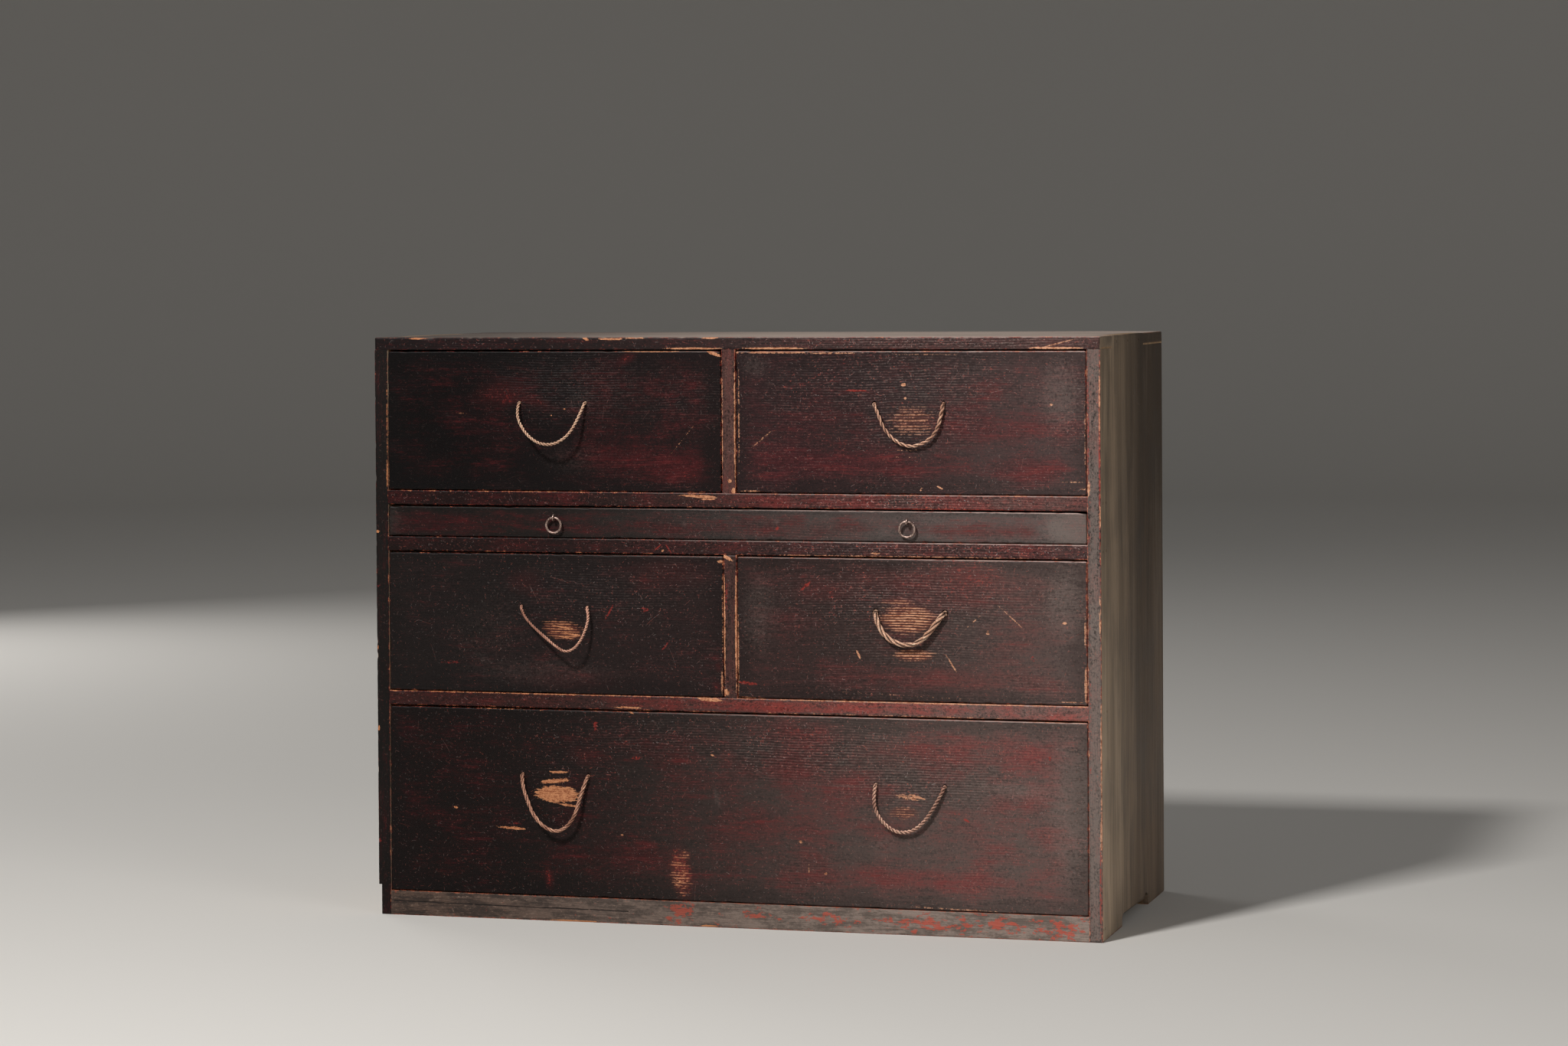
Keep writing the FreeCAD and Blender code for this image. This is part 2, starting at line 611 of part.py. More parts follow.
def build_all():
    """Every node of the chest by name."""
    nodes = build_case()
    left_x1 = -UPPER_DIVIDER_T / 2
    right_x0 = UPPER_DIVIDER_T / 2
    low_left_x1 = LOWER_DIVIDER_SHIFT - LOWER_DIVIDER_T / 2
    low_right_x0 = LOWER_DIVIDER_SHIFT + LOWER_DIVIDER_T / 2
    top_z = TOP_BAY_Z + TOP_BAY_H * TOP_PULL_SHARE
    middle_z = MIDDLE_BAY_Z + MIDDLE_BAY_H * MIDDLE_PULL_SHARE
    bottom_z = BOTTOM_BAY_Z + BOTTOM_BAY_H * BOTTOM_PULL_SHARE
    bottom_x = INNER_X * BOTTOM_PULL_SPREAD_SHARE

    top_left = Drawer("top_left_drawer", -INNER_X, left_x1, TOP_BAY_Z, TOP_BAY_H)
    top_right = Drawer("top_right_drawer", right_x0, INNER_X, TOP_BAY_Z, TOP_BAY_H)
    shallow = Drawer("shallow_drawer", -INNER_X, INNER_X, SHALLOW_BAY_Z, SHALLOW_BAY_H)
    middle_left = Drawer("middle_left_drawer", -INNER_X, low_left_x1, MIDDLE_BAY_Z, MIDDLE_BAY_H)
    middle_right = Drawer("middle_right_drawer", low_right_x0, INNER_X, MIDDLE_BAY_Z, MIDDLE_BAY_H)
    bottom = Drawer("bottom_drawer", -INNER_X, INNER_X, BOTTOM_BAY_Z, BOTTOM_BAY_H)

    def pull(name, route, diameter, drawer, z):
        return CordPull(name, route, diameter, (drawer.x0 + drawer.x1) / 2, z)

    cords = {
        top_left: [pull("top_left_cord", TOP_LEFT_ROUTE, TOP_LEFT_CORD_D, top_left, top_z)],
        top_right: [pull("top_right_cord", TOP_RIGHT_ROUTE, TOP_RIGHT_CORD_D, top_right, top_z)],
        middle_left: [pull("middle_left_cord", MIDDLE_LEFT_ROUTE, MIDDLE_LEFT_CORD_D,
                           middle_left, middle_z)],
        middle_right: [pull("middle_right_cord", MIDDLE_RIGHT_ROUTE, MIDDLE_RIGHT_CORD_D,
                            middle_right, middle_z)],
        bottom: [CordPull("bottom_left_cord", BOTTOM_LEFT_ROUTE, BOTTOM_LEFT_CORD_D,
                          -bottom_x, bottom_z),
                 CordPull("bottom_right_cord", BOTTOM_RIGHT_ROUTE, BOTTOM_RIGHT_CORD_D,
                          bottom_x, bottom_z)]}
    for drawer, pulls in cords.items():
        holes = [hole for cord in pulls for hole in cord.holes()]
        nodes.update(build_drawer(drawer, holes))
        for cord in pulls:
            nodes.update(cord.nodes())

    rings = {"left_ring": RingPull(-RING_SPREAD / 2), "right_ring": RingPull(RING_SPREAD / 2)}
    nodes.update(build_drawer(shallow, [ring.hole() for ring in rings.values()]))
    for name, ring in rings.items():
        nodes[name] = ring.ring()
    nodes["ring_split_pins"] = Part.makeCompound([ring.pin() for ring in rings.values()])
    return nodes


os.makedirs("parts", exist_ok=True)
ALL_NODES = build_all()
for node_name, node_shape in ALL_NODES.items():
    node_shape.exportStep("parts/" + node_name + ".step")
print(len(ALL_NODES), "nodes, height", round(HEIGHT, 1))
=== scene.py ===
import bmesh
import bpy
import math
import random
from mathutils import Matrix, Vector, noise


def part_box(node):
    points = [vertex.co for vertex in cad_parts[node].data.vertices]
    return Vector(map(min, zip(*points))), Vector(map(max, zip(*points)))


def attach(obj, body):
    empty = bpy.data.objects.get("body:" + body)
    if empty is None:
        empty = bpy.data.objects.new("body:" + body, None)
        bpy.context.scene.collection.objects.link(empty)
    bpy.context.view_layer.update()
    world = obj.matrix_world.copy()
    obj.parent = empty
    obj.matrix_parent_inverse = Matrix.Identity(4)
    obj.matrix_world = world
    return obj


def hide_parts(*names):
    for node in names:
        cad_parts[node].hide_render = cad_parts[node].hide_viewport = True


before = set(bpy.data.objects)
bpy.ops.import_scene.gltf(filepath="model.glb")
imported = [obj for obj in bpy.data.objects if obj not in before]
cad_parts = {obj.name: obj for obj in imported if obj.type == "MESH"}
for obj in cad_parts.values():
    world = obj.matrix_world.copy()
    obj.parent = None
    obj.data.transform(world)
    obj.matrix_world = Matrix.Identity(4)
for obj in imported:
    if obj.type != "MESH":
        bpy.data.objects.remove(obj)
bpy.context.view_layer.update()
MM = 0.001


# The view and the studio. The camera stands a little above the top, to the right. A soft key lamp
# hangs high in front, and two wide faint lamps light the right side and, from behind, the left
# one. The pale floor rises into a pale wall all round, outside the places of the other views.
CAMERA_PLACE = (1.3527, -4.7556, 0.7876)
CAMERA_FORWARD = (-0.2711, 0.9625, -0.015)
CAMERA_ROLL = math.radians(-0.353)
CAMERA_LENS = 90.73
CAMERA_SENSOR = 36.0
CAMERA_SHIFT = -0.12105
LAMPS = (  # name, place, size and power
    ("key_lamp", (-0.95, -3.1, 3.35), 0.5, 176.0),
    ("side_lamp", (3.4, -2.6, 1.9), 1.8, 32.0),
    ("back_lamp", (-3.4, 2.7, 1.5), 1.8, 40.0))
LAMP_AIM = (0.0, -0.1, 0.38)
SKY_STRENGTH = 0.12
FLOOR_COLOUR = (206, 202, 196)
FLOOR_REACH = 9.0
WALL_REACH = 13.0
WALL_HEIGHT = 6.0
BEND_STEPS = 8
ROUND_STEPS = 64


def paint(red, green, blue):
    """A colour named by its three values from 0 to 255, made linear."""
    def linear(value):
        share = value / 255
        return share / 12.92 if share <= 0.04045 else ((share + 0.055) / 1.055) ** 2.4
    return (linear(red), linear(green), linear(blue), 1.0)


class Wire:
    """A value in a finish; a sum or product on it adds a Math node."""

    def __init__(self, finish, socket):
        self.finish = finish
        self.socket = socket

    def __add__(self, other):
        return self.finish.maths("ADD", self, other)

    def __sub__(self, other):
        return self.finish.maths("SUBTRACT", self, other)

    def __rsub__(self, other):
        return self.finish.maths("SUBTRACT", other, self)

    def __mul__(self, other):
        return self.finish.maths("MULTIPLY", self, other)

    def __truediv__(self, other):
        return self.finish.maths("DIVIDE", self, other)

    __radd__ = __add__
    __rmul__ = __mul__

    @property
    def off(self):
        """How far a noise is from its middle."""
        return self - 0.5


class Finish:
    """A material in the making, with one shader."""

    def __init__(self, name, specular=0.5, metallic=0.0):
        self.material = bpy.data.materials.new(name)
        self.material.use_nodes = True
        self.tree = self.material.node_tree
        self.shader = self.tree.nodes["Principled BSDF"]
        self.shader.inputs["Specular IOR Level"].default_value = specular
        self.shader.inputs["Metallic"].default_value = metallic

    def feed(self, target, value):
        """A wire is linked to a socket, and a plain value is set on it."""
        if isinstance(value, Wire):
            self.tree.links.new(value.socket, target)
        else:
            target.default_value = value

    def node(self, kind, settings=None, inputs=None, out=0):
        """Any node: its type, its settings, then the values or wires of its sockets."""
        made = self.tree.nodes.new("ShaderNode" + kind)
        for key, value in (settings or {}).items():
            setattr(made, key, value)
        for key, value in (inputs or {}).items():
            self.feed(made.inputs[key], value)
        return Wire(self, made.outputs[out])

    def maths(self, operation, *values):
        return self.node("Math", {"operation": operation}, dict(enumerate(values)))

    def vector(self, operation, inputs, out=0):
        return self.node("VectorMath", {"operation": operation}, inputs, out)

    def ramp(self, value, low, high, to_low=0.0, to_high=1.0):
        """A soft step from to_low at low to to_high at high."""
        return self.node("MapRange", {"interpolation_type": "SMOOTHSTEP"},
                         {0: value, 1: low, 2: high, 3: to_low, 4: to_high})

    def most(self, *values):
        """The largest of several values."""
        top = values[0]
        for value in values[1:]:
            top = self.maths("MAXIMUM", top, value)
        return top

    def mix(self, share, *colours):
        """A colour part of the way from the first to the second; a tuple is painted first."""
        first, second = (paint(*colour) if isinstance(colour, tuple) else colour
                         for colour in colours)
        return self.node("Mix", {"data_type": "RGBA"}, {0: share, 6: first, 7: second}, out=2)

    def place(self):
        """The place on the piece in millimetres, as a vector."""
        seat = self.node("TexCoord", out=3)
        return self.vector("SCALE", {0: seat, "Scale": 1000.0})

    def parts(self, vector):
        """The three values of a vector."""
        split = self.node("SeparateXYZ", inputs={0: vector})
        return [Wire(self, socket) for socket in split.socket.node.outputs]

    def join(self, x, y, z):
        return self.node("CombineXYZ", inputs={0: x, 1: y, 2: z})

    def cloud(self, vector, scale, detail=2.0, roughness=0.5):
        """Soft noise from about 0.2 to 0.8."""
        return self.node("TexNoise", inputs={"Vector": vector, "Scale": scale,
                                             "Detail": detail, "Roughness": roughness})

    def grain(self, x, y, z, detail=2.0, roughness=0.5):
        """Soft noise stretched by its own amount along each axis."""
        return self.cloud(self.join(x, y, z), 1.0, detail, roughness)

    def written(self, name, out=2):
        """What is written under a name on the points of the mesh."""
        return self.node("Attribute", {"attribute_name": name}, out=out)

    def done(self, colour, roughness, height=None):
        """Feeds the shader; the height is in millimetres."""
        self.feed(self.shader.inputs["Base Color"], colour)
        self.feed(self.shader.inputs["Roughness"], roughness)
        if height is not None:
            bump = self.node("Bump", inputs={"Strength": 1.0, "Distance": MM, "Height": height})
            self.feed(self.shader.inputs["Normal"], bump)
        return self.material


def settled(work, name, sharp=None):
    """The finished work as a smooth mesh, creased above an angle in degrees if one is given."""
    mesh = bpy.data.meshes.new(name)
    work.to_mesh(mesh)
    work.free()
    mesh.shade_smooth()
    if sharp:
        mesh.set_sharp_from_angle(angle=math.radians(sharp))
    return mesh


def keep(name, mesh, material):
    """The mesh as a piece in the scene, with one material."""
    mesh.materials.clear()
    mesh.materials.append(material)
    piece = bpy.data.objects.new(name, mesh)
    bpy.context.scene.collection.objects.link(piece)
    return piece


camera = bpy.data.objects.new("camera", bpy.data.cameras.new("camera"))
camera.data.lens = CAMERA_LENS
camera.data.sensor_width = CAMERA_SENSOR
camera.data.shift_y = CAMERA_SHIFT
camera.location = CAMERA_PLACE
camera.rotation_mode = "QUATERNION"
level = Vector(CAMERA_FORWARD).to_track_quat("-Z", "Y")
camera.rotation_quaternion = level @ Matrix.Rotation(CAMERA_ROLL, 3, "Z").to_quaternion()
bpy.context.scene.collection.objects.link(camera)
bpy.context.scene.camera = camera
bpy.context.scene.view_settings.view_transform = "Standard"

for name, place, size, power in LAMPS:
    lamp = bpy.data.lights.new(name, "AREA")
    lamp.size = size
    lamp.energy = power
    holder = bpy.data.objects.new(name, lamp)
    holder.location = place
    holder.rotation_mode = "QUATERNION"
    holder.rotation_quaternion = (Vector(LAMP_AIM) - Vector(place)).to_track_quat("-Z", "Y")
    bpy.context.scene.collection.objects.link(holder)
world = bpy.data.worlds.new("studio")
world.use_nodes = True
sky = world.node_tree.nodes["Background"]
sky.inputs["Color"].default_value = (1.0, 1.0, 1.0, 1.0)
sky.inputs["Strength"].default_value = SKY_STRENGTH
bpy.context.scene.world = world

sweep = bmesh.new()
turn = WALL_REACH - FLOOR_REACH
profile = [(0.0, 0.0), (FLOOR_REACH, 0.0)]
for step in range(1, BEND_STEPS + 1):
    angle = math.radians(90 * step / BEND_STEPS)
    profile.append((FLOOR_REACH + turn * math.sin(angle), turn * (1 - math.cos(angle))))
profile.append((WALL_REACH, WALL_HEIGHT))
verts = [sweep.verts.new((reach, 0.0, height)) for reach, height in profile]
edges = [sweep.edges.new(pair) for pair in zip(verts, verts[1:])]
bmesh.ops.spin(sweep, geom=verts + edges, cent=(0, 0, 0), axis=(0, 0, 1),
               angle=math.tau, steps=ROUND_STEPS, use_merge=True)
bmesh.ops.remove_doubles(sweep, verts=sweep.verts, dist=1e-4)
bmesh.ops.recalc_face_normals(sweep, faces=sweep.faces)
if sum(face.normal.z for face in sweep.faces) < 0:
    bmesh.ops.reverse_faces(sweep, faces=sweep.faces)
floor = keep("studio_floor", settled(sweep, "studio_floor"),
             Finish("studio_floor", 0.2).done(paint(*FLOOR_COLOUR), 0.9))


# The six cord pulls: twisted bast cord, each passed through two holes of a drawer front and
# knotted behind it. They differ in thickness, twist and colour. A loop swings at the mouths of
# its holes, and the stretch inside and the knot stay put. Sizes are in millimetres from here on.
FRONT_Y = -202.0
FRONT_T = 18.0
MOUTH_GAP = 0.3
HOLE_HALF_SPAN = 42.3
STRAND_STEP = 0.55
KNOT_STEP = 0.8
KNOT_TAIL = 7.0
KNOT_TURNS = 2.15
WRAP_STEPS = 40
STUB_DROP = 0.4
STRAND_SHARES = {2: (0.245, 0.262), 3: (0.27, 0.24)}  # offset, radius over the diameter
STRAND_SIDES = 8
HAIR_STEPS = 4
HAIR_RADIUS = 0.07
FIBRE_RADIUS = 0.3
EVEN = ((0.0, 1.0), (1.0, 1.0))  # share of the length, thickness there
# painted shade for the grooves between the strands of a cord
GROOVE_SHADE = (54, 31, 23)


def seat(piece, body, slot, node):
    """The piece rides on a body and stands for a node; the slot is not used."""
    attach(piece, body)
    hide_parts(node)


def route_line(points):
    """The points of the smooth line that hangs along a route."""
    curve = bpy.data.curves.new("route", "CURVE")
    curve.dimensions = "3D"
    curve.resolution_u = 24
    spline = curve.splines.new("NURBS")
    spline.points.add(len(points) - 1)
    for knot, place in zip(spline.points, points):
        knot.co = (*place, 1.0)
    spline.order_u = 3
    spline.use_endpoint_u = True
    carrier = bpy.data.objects.new("route", curve)
    mesh = bpy.data.meshes.new_from_object(carrier)
    line = [vert.co.copy() for vert in mesh.vertices]
    bpy.data.objects.remove(carrier)
    bpy.data.curves.remove(curve)
    bpy.data.meshes.remove(mesh)
    return line


def run_lengths(line):
    """The lengths of the runs between the points of a line."""
    return [(b - a).length for a, b in zip(line, line[1:])]


def even_steps(line, step):
    """The same line with points at one spacing."""
    lengths = run_lengths(line)
    total = sum(lengths)
    count = max(4, round(total / step))
    found, travelled, index = [], 0.0, 0
    for number in range(count + 1):
        goal = total * number / count
        while index < len(lengths) - 1 and travelled + lengths[index] < goal:
            travelled += lengths[index]
            index += 1
        share = (goal - travelled) / lengths[index] if lengths[index] else 0.0
        found.append(line[index].lerp(line[index + 1], min(1.0, max(0.0, share))))
    return found


def carried_frames(line):
    """For each point its tangent and a side direction, carried along without twist."""
    tangents = []
    for index in range(len(line)):
        ahead = line[min(index + 1, len(line) - 1)]
        tangents.append((ahead - line[max(index - 1, 0)]).normalized())
    side = tangents[0].orthogonal().normalized()
    frames = []
    for tangent in tangents:
        side = (side - tangent * side.dot(tangent)).normalized()
        frames.append((tangent, side.copy()))
    return frames


def outward(frame_here, angle):
    """The direction square to the line at an angle round it."""
    tangent, side = frame_here
    return side * math.cos(angle) + tangent.cross(side) * math.sin(angle)


def tube_mesh(points, radii, sides):
    """A closed tube along the points, ring by ring."""
    curve = bpy.data.curves.new("strand", "CURVE")
    curve.dimensions = "3D"
    curve.bevel_depth = 1.0
    curve.bevel_resolution = sides // 2 - 2
    curve.use_fill_caps = True
    spline = curve.splines.new("POLY")
    spline.points.add(len(points) - 1)
    for knot, place, radius in zip(spline.points, points, radii):
        knot.co = (*place, 1.0)
        knot.radius = radius
    carrier = bpy.data.objects.new("strand", curve)
    mesh = bpy.data.meshes.new_from_object(carrier)
    bpy.data.objects.remove(carrier)
    bpy.data.curves.remove(curve)
    return mesh


class Rope:
    """Strands laid round one another, gathered in one mesh with their straightened places."""

    def __init__(self, diameter, strands, lay, seed):
        self.diameter = diameter
        self.strands = strands
        self.lay = lay
        self.draw = random.Random(seed)
        self.gather = bmesh.new()
        self.places = []
        self.crowns = []

    def add_tube(self, points, radii, number, sides, axis_line=None):
        mesh = tube_mesh(points, radii, sides)
        ring = max(1, len(mesh.vertices) // len(points))
        travelled = [0.0]
        for length in run_lengths(points):
            travelled.append(travelled[-1] + length / MM)
        for index, vert in enumerate(mesh.vertices):
            row = min(index // ring, len(points) - 1)
            self.places += (travelled[row], (index % ring) / ring, number)
            crown = 1.0
            if axis_line:
                crown = min(1.2, (vert.co - axis_line[row]).length / (self.diameter * MM / 2))
            self.crowns.append(crown)
        self.gather.from_mesh(mesh)
        bpy.data.meshes.remove(mesh)

    def lay_strands(self, line, fullness=EVEN, taper=(1.0, 1.0)):
        """Strands in a helix round the line; fullness gives the thickness along it."""
        frames = carried_frames(line)
        offset_share, radius_share = STRAND_SHARES[self.strands]
        phase = self.draw.uniform(0, math.tau)
        length = sum(run_lengths(line)) / MM
        drift = self.draw.uniform(0, 50)
        for number in range(self.strands):
            points, radii, travelled = [], [], 0.0
            for index, place in enumerate(line):
                if index:
                    travelled += (place - line[index - 1]).length / MM
                share = travelled / length
                full = 1.0
                for (s0, f0), (s1, f1) in zip(fullness, fullness[1:]):
                    if s0 <= share <= s1:
                        full = f0 + (f1 - f0) * (share - s0) / max(1e-6, s1 - s0)
                wobble = noise.noise(Vector((travelled / 11 + drift, number * 7.1, 0)))
                swell = 1 + 0.13 * noise.noise(Vector((travelled / 5 + drift, number * 3.7, 9)))
                angle = phase + math.tau * (travelled / self.lay + number / self.strands) \
                    + 0.55 * wobble
                offset = self.diameter * MM * offset_share * full * (1 + 0.16 * wobble)
                points.append(place + outward(frames[index], angle) * offset)
                near = travelled / (0.5 * self.diameter)
                far = (length - travelled) / (0.5 * self.diameter)
                end = min(1.0, taper[0] + near * (1 - taper[0]), taper[1] + far * (1 - taper[1]))
                radii.append(self.diameter * MM * radius_share * full * swell * end)
            self.add_tube(points, radii, number, STRAND_SIDES, line)

    def add_hairs(self, line, count, reach, window=(0.03, 0.97)):
        """Loose fibres that stand a little off the strands."""
        frames = carried_frames(line)
        for number in range(count):
            index = int(len(line) * self.draw.uniform(*window))
            radial = outward(frames[index], self.draw.uniform(0, math.tau))
            along = frames[index][0] * self.draw.choice((-1, 1))
            long = reach * self.draw.uniform(0.5, 1.0)
            start = line[index] + radial * self.diameter * MM * 0.42
            points, radii = [], []
            for step in range(HAIR_STEPS + 1):
                share = step / HAIR_STEPS
                points.append(start + along * long * MM * share * 1.3
                              + radial * long * MM * 0.55 * share ** 1.7)
                radii.append(HAIR_RADIUS * MM * (1 - 0.6 * step / HAIR_STEPS))
            self.add_tube(points, radii, 9 + number, 4)

    def add_fibre(self, line, share, reach):
        """One stray end of yarn that stands off the line at a share of its length."""
        index = int(share * (len(line) - 1))
        start = line[index]
        ahead = line[min(len(line) - 1, index + 4)] - start
        reach = Vector(reach) * MM
        bend = even_steps(route_line([start - ahead, start + reach * 0.35 - ahead * 0.4,
                                      start + reach * 0.7 + ahead * 0.5, start + reach]), 0.5 * MM)
        shrink = [FIBRE_RADIUS * MM * (1 - 0.55 * i / len(bend)) for i in range(len(bend))]
        self.add_tube(bend, shrink, 5, 6)

    def piece(self, name, material):
        """The rope as a piece, with its straightened places and crowns written on it."""
        made = settled(self.gather, name)
        lay = made.attributes.new("lay", "FLOAT_VECTOR", "POINT")
        lay.data.foreach_set("vector", self.places)
        made.attributes.new("crown", "FLOAT", "POINT").data.foreach_set("value", self.crowns)
        return keep(name, made, material)


def cord_finish(name, straw, shade, pale, browned):
    """Bast fibre: fine threads along each strand, painted shade in the grooves, browner where
    handled.
    """
    finish = Finish(name, 0.25)
    mix, ramp = finish.mix, finish.ramp
    along, around, number = finish.parts(finish.written("lay", 1))
    threads = finish.cloud(finish.join(along * 0.22, around * 5.0, number * 7.3), 2.2, 3.0, 0.6)
    coarse = finish.cloud(finish.join(along * 0.09, around * 1.6, number * 3.1), 1.6)
    handled = finish.cloud(finish.place(), 0.045, 1.0)
    colour = mix(ramp(threads, 0.36, 0.66), shade, straw)
    colour = mix(ramp(coarse, 0.52, 0.72) * 0.75, colour, pale)
    colour = mix(ramp(handled, 0.48, 0.66) * browned, colour, shade)
    # painted shade in the grooves, where the strands meet
    colour = mix(ramp(finish.written("crown"), 0.96, 0.62) * 0.88, colour, GROOVE_SHADE)
    return finish.done(colour, 0.82, threads * 0.28 + coarse * 0.2)


def tie_knots(rope, middle):
    """The stretch in each hole, two turns round it behind the front, and the cut tail."""
    thick = rope.diameter
    seat_y = FRONT_Y + FRONT_T
    for side in (-1, 1):
        mouth = middle + Vector((side * HOLE_HALF_SPAN, 0, 0))
        drop = Vector((0, 0, -STUB_DROP))
        knot_end = seat_y + thick * 2.6
        stub = [mouth, mouth + Vector((0, thick * 0.4, 0)) + drop,
                Vector((mouth.x, FRONT_Y + 5, mouth.z)) + drop,
                Vector((mouth.x, seat_y, mouth.z)), Vector((mouth.x, knot_end, mouth.z)),
                Vector((mouth.x + 0.8, knot_end + KNOT_TAIL - 0.3, mouth.z - 1.2))]
        line = even_steps(route_line([point * MM for point in stub]), KNOT_STEP * MM)
        rope.lay_strands(line, taper=(0.55, 0.8))
        rope.add_hairs(line, 8, 2.0, (0.85, 0.98))
        wraps = []
        for step in range(WRAP_STEPS + 1):
            share = step / WRAP_STEPS
            angle = math.tau * KNOT_TURNS * share + side
            reach = thick * 0.86 * min(1.0, 0.35 + 6 * share, 0.35 + 6 * (1 - share))
            wraps.append(Vector((mouth.x + reach * math.cos(angle),
                                 seat_y + thick * (0.48 + 1.6 * share),
                                 mouth.z + reach * math.sin(angle))) * MM)
        rope.lay_strands(even_steps(wraps, KNOT_STEP * MM), taper=(0.5, 0.5))


def cord_pull(name, drawer, centre_x, mouth_z, diameter, strands, lay, seed, colours, browned,
              hairs, route, fullness=EVEN, fibres=()):
    """One cord: a loop that swings before the front, and knotted ends that stay in it. The route
    is measured from midway between the mouths of the two holes, and leaves them out."""
    middle = Vector((centre_x, FRONT_Y - MOUTH_GAP - diameter / 2, mouth_z))
    route = [(-HOLE_HALF_SPAN, 0, 0), *route, (HOLE_HALF_SPAN, 0, 0)]
    points = [(middle + Vector(point)) * MM for point in route]
    line = even_steps(route_line(points), STRAND_STEP * MM)
    material = cord_finish(name, *colours, browned)
    rope = Rope(diameter, strands, lay, seed)
    rope.lay_strands(line, fullness, (0.55, 0.55))
    rope.add_hairs(line, hairs, min(2.6, 1.2 + diameter * 0.3))
    for share, reach in fibres:
        rope.add_fibre(line, share, reach)
    loop = rope.piece(name + "_twist", material)
    seat(loop, name, "twisted_cord", name + "_loop")
    ends = Rope(diameter, strands, lay, seed + 50)
    tie_knots(ends, middle)
    knots = ends.piece(name + "_knotted_ends", material)
    seat(knots, drawer, "twisted_cord", name + "_knots")
    round(sum(run_lengths(line)), 4)


# name, drawer, x and z of the mouths, diameter, strands, lay, seed, colours, browned, hairs,
# route, fullness and stray fibres
cord_pull("top_left_cord", "top_left_drawer", -223.45, 632.844, 3.6, 2, 9.0, 11,
          ((244, 203, 172), (154, 110, 86), (255, 232, 200)), 0.3, 14,
          [(-44, -5, -12), (-37, -12, -27), (-23, -19, -42), (-5, -22.5, -51), (14, -21.5, -49),
           (28.5, -17, -37), (37, -9, -18)])
cord_pull("top_right_cord", "top_right_drawer", 223.45, 632.844, 4.4, 2, 17.0, 12,
          ((246, 194, 164), (150, 104, 84), (255, 226, 194)), 0.6, 34,
          [(-36.5, -2, -13), (-30, -3, -29), (-18, -3.2, -43), (-1, -3, -51.5), (17, -3, -48.5),
           (32, -2.7, -37.5), (39.5, -1.6, -19)],
          ((0.0, 0.95), (0.8, 0.95), (0.93, 1.2), (1.0, 1.05)))
cord_pull("middle_left_cord", "middle_left_drawer", -222.85, 384.1775, 3.4, 2, 7.2, 13,
          ((244, 188, 162), (148, 100, 82), (255, 206, 170)), 0.8, 30,
          [(-38, -5, -10), (-25, -10, -22.5), (-8, -14, -35), (7, -18, -46), (23, -20.5, -54.5),
           (37, -17, -45), (44.5, -10, -26), (46.5, -4, -10)],
          ((0.0, 1.0), (0.2, 0.92), (0.35, 1.14), (0.43, 0.94), (0.85, 0.98), (1.0, 1.2)),
          ((0.27, (2.0, -1.2, -3.0)), (0.285, (-1.2, -1.0, 2.6))))
cord_pull("middle_right_cord", "middle_right_drawer", 223.65, 384.1775, 7.0, 3, 40.0, 14,
          ((250, 204, 174), (164, 114, 88), (255, 234, 204)), 0.5, 60,
          [(-39, -2, -13), (-29, -3, -28.5), (-10.5, -3.5, -38.5), (9, -3.2, -37),
           (24, -2.6, -24), (34.5, -1.4, -9)],
          ((0.0, 0.86), (0.12, 0.94), (0.5, 0.86), (0.8, 0.92), (1.0, 0.96)))
cord_pull("bottom_left_cord", "bottom_drawer", -222.6564, 178.35, 4.6, 3, 22.0, 15,
          ((214, 160, 134), (124, 82, 64), (240, 190, 156)), 0.75, 30,
          [(-40.5, -4, -14), (-33, -7, -31), (-26, -9, -46.5), (-13, -10.8, -61),
           (3.5, -11.2, -68), (18.5, -10.4, -62), (28.5, -8.6, -46.5), (33, -5.6, -28.5),
           (37.5, -2.8, -12.5)],
          ((0.0, 1.05), (0.1, 0.95), (0.9, 0.95), (1.0, 1.0)),
          ((0.585, (-2.4, -0.6, 3.6)), (0.6, (0.6, -0.8, 4.2)), (0.22, (-3.4, -1.0, 1.6))))
cord_pull("bottom_right_cord", "bottom_drawer", 222.6564, 178.35, 4.6, 2, 10.0, 16,
          ((242, 192, 168), (144, 102, 86), (255, 226, 194)), 0.65, 30,
          [(-44, -2, -14), (-42, -3, -30.5), (-31, -3.2, -46), (-15.5, -3.2, -56),
           (3.5, -3.1, -54), (17.5, -2.9, -42.5), (28, -2.4, -27.5), (37, -1.4, -12)],
          ((0.0, 1.15), (0.06, 0.95), (0.95, 0.95), (1.0, 1.1)))


# The drawer fronts: ridged boards under old wine-black lacquer, chipped along their edges and
# rubbed through to orange wood. Each has its own marks: a mark is its x and z, its half width
# and half height, its strength and, where it is turned, its turn in degrees.
GRID_X = 3.0
GRID_Z = 4.5
RIM_CUTS = (0.55, 1.3, 2.4)
CHIP_REACH = 2.3
FACE_DEPTH = 1.2
WORN_CORNER_WIDE = 15.0
WORN_CORNER_DEEP = 1.5
WORN_CORNER_HIGH = 6.0
NARROW = 4.5
PLACE_LEFT = -460.0
PLACE_RIGHT = 460.0
INK = (14, 10, 10)
BARE_DARK = (130, 72, 46)
BARE_LIGHT = (186, 124, 82)
BARE_PALE = (222, 166, 132)
BRICK = (158, 54, 44)
RAW_DARK = (122, 92, 66)
RAW_LIGHT = (176, 144, 108)
INWARD = (Vector((1, 0, 0)), Vector((-1, 0, 0)), Vector((0, 0, 1)), Vector((0, 0, -1)))


def limits(node):
    """The lowest and highest corner of a board in millimetres."""
    low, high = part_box(node)
    return low / MM, high / MM


def axis_way(axis):
    return Vector([float(index == axis) for index in range(3)])


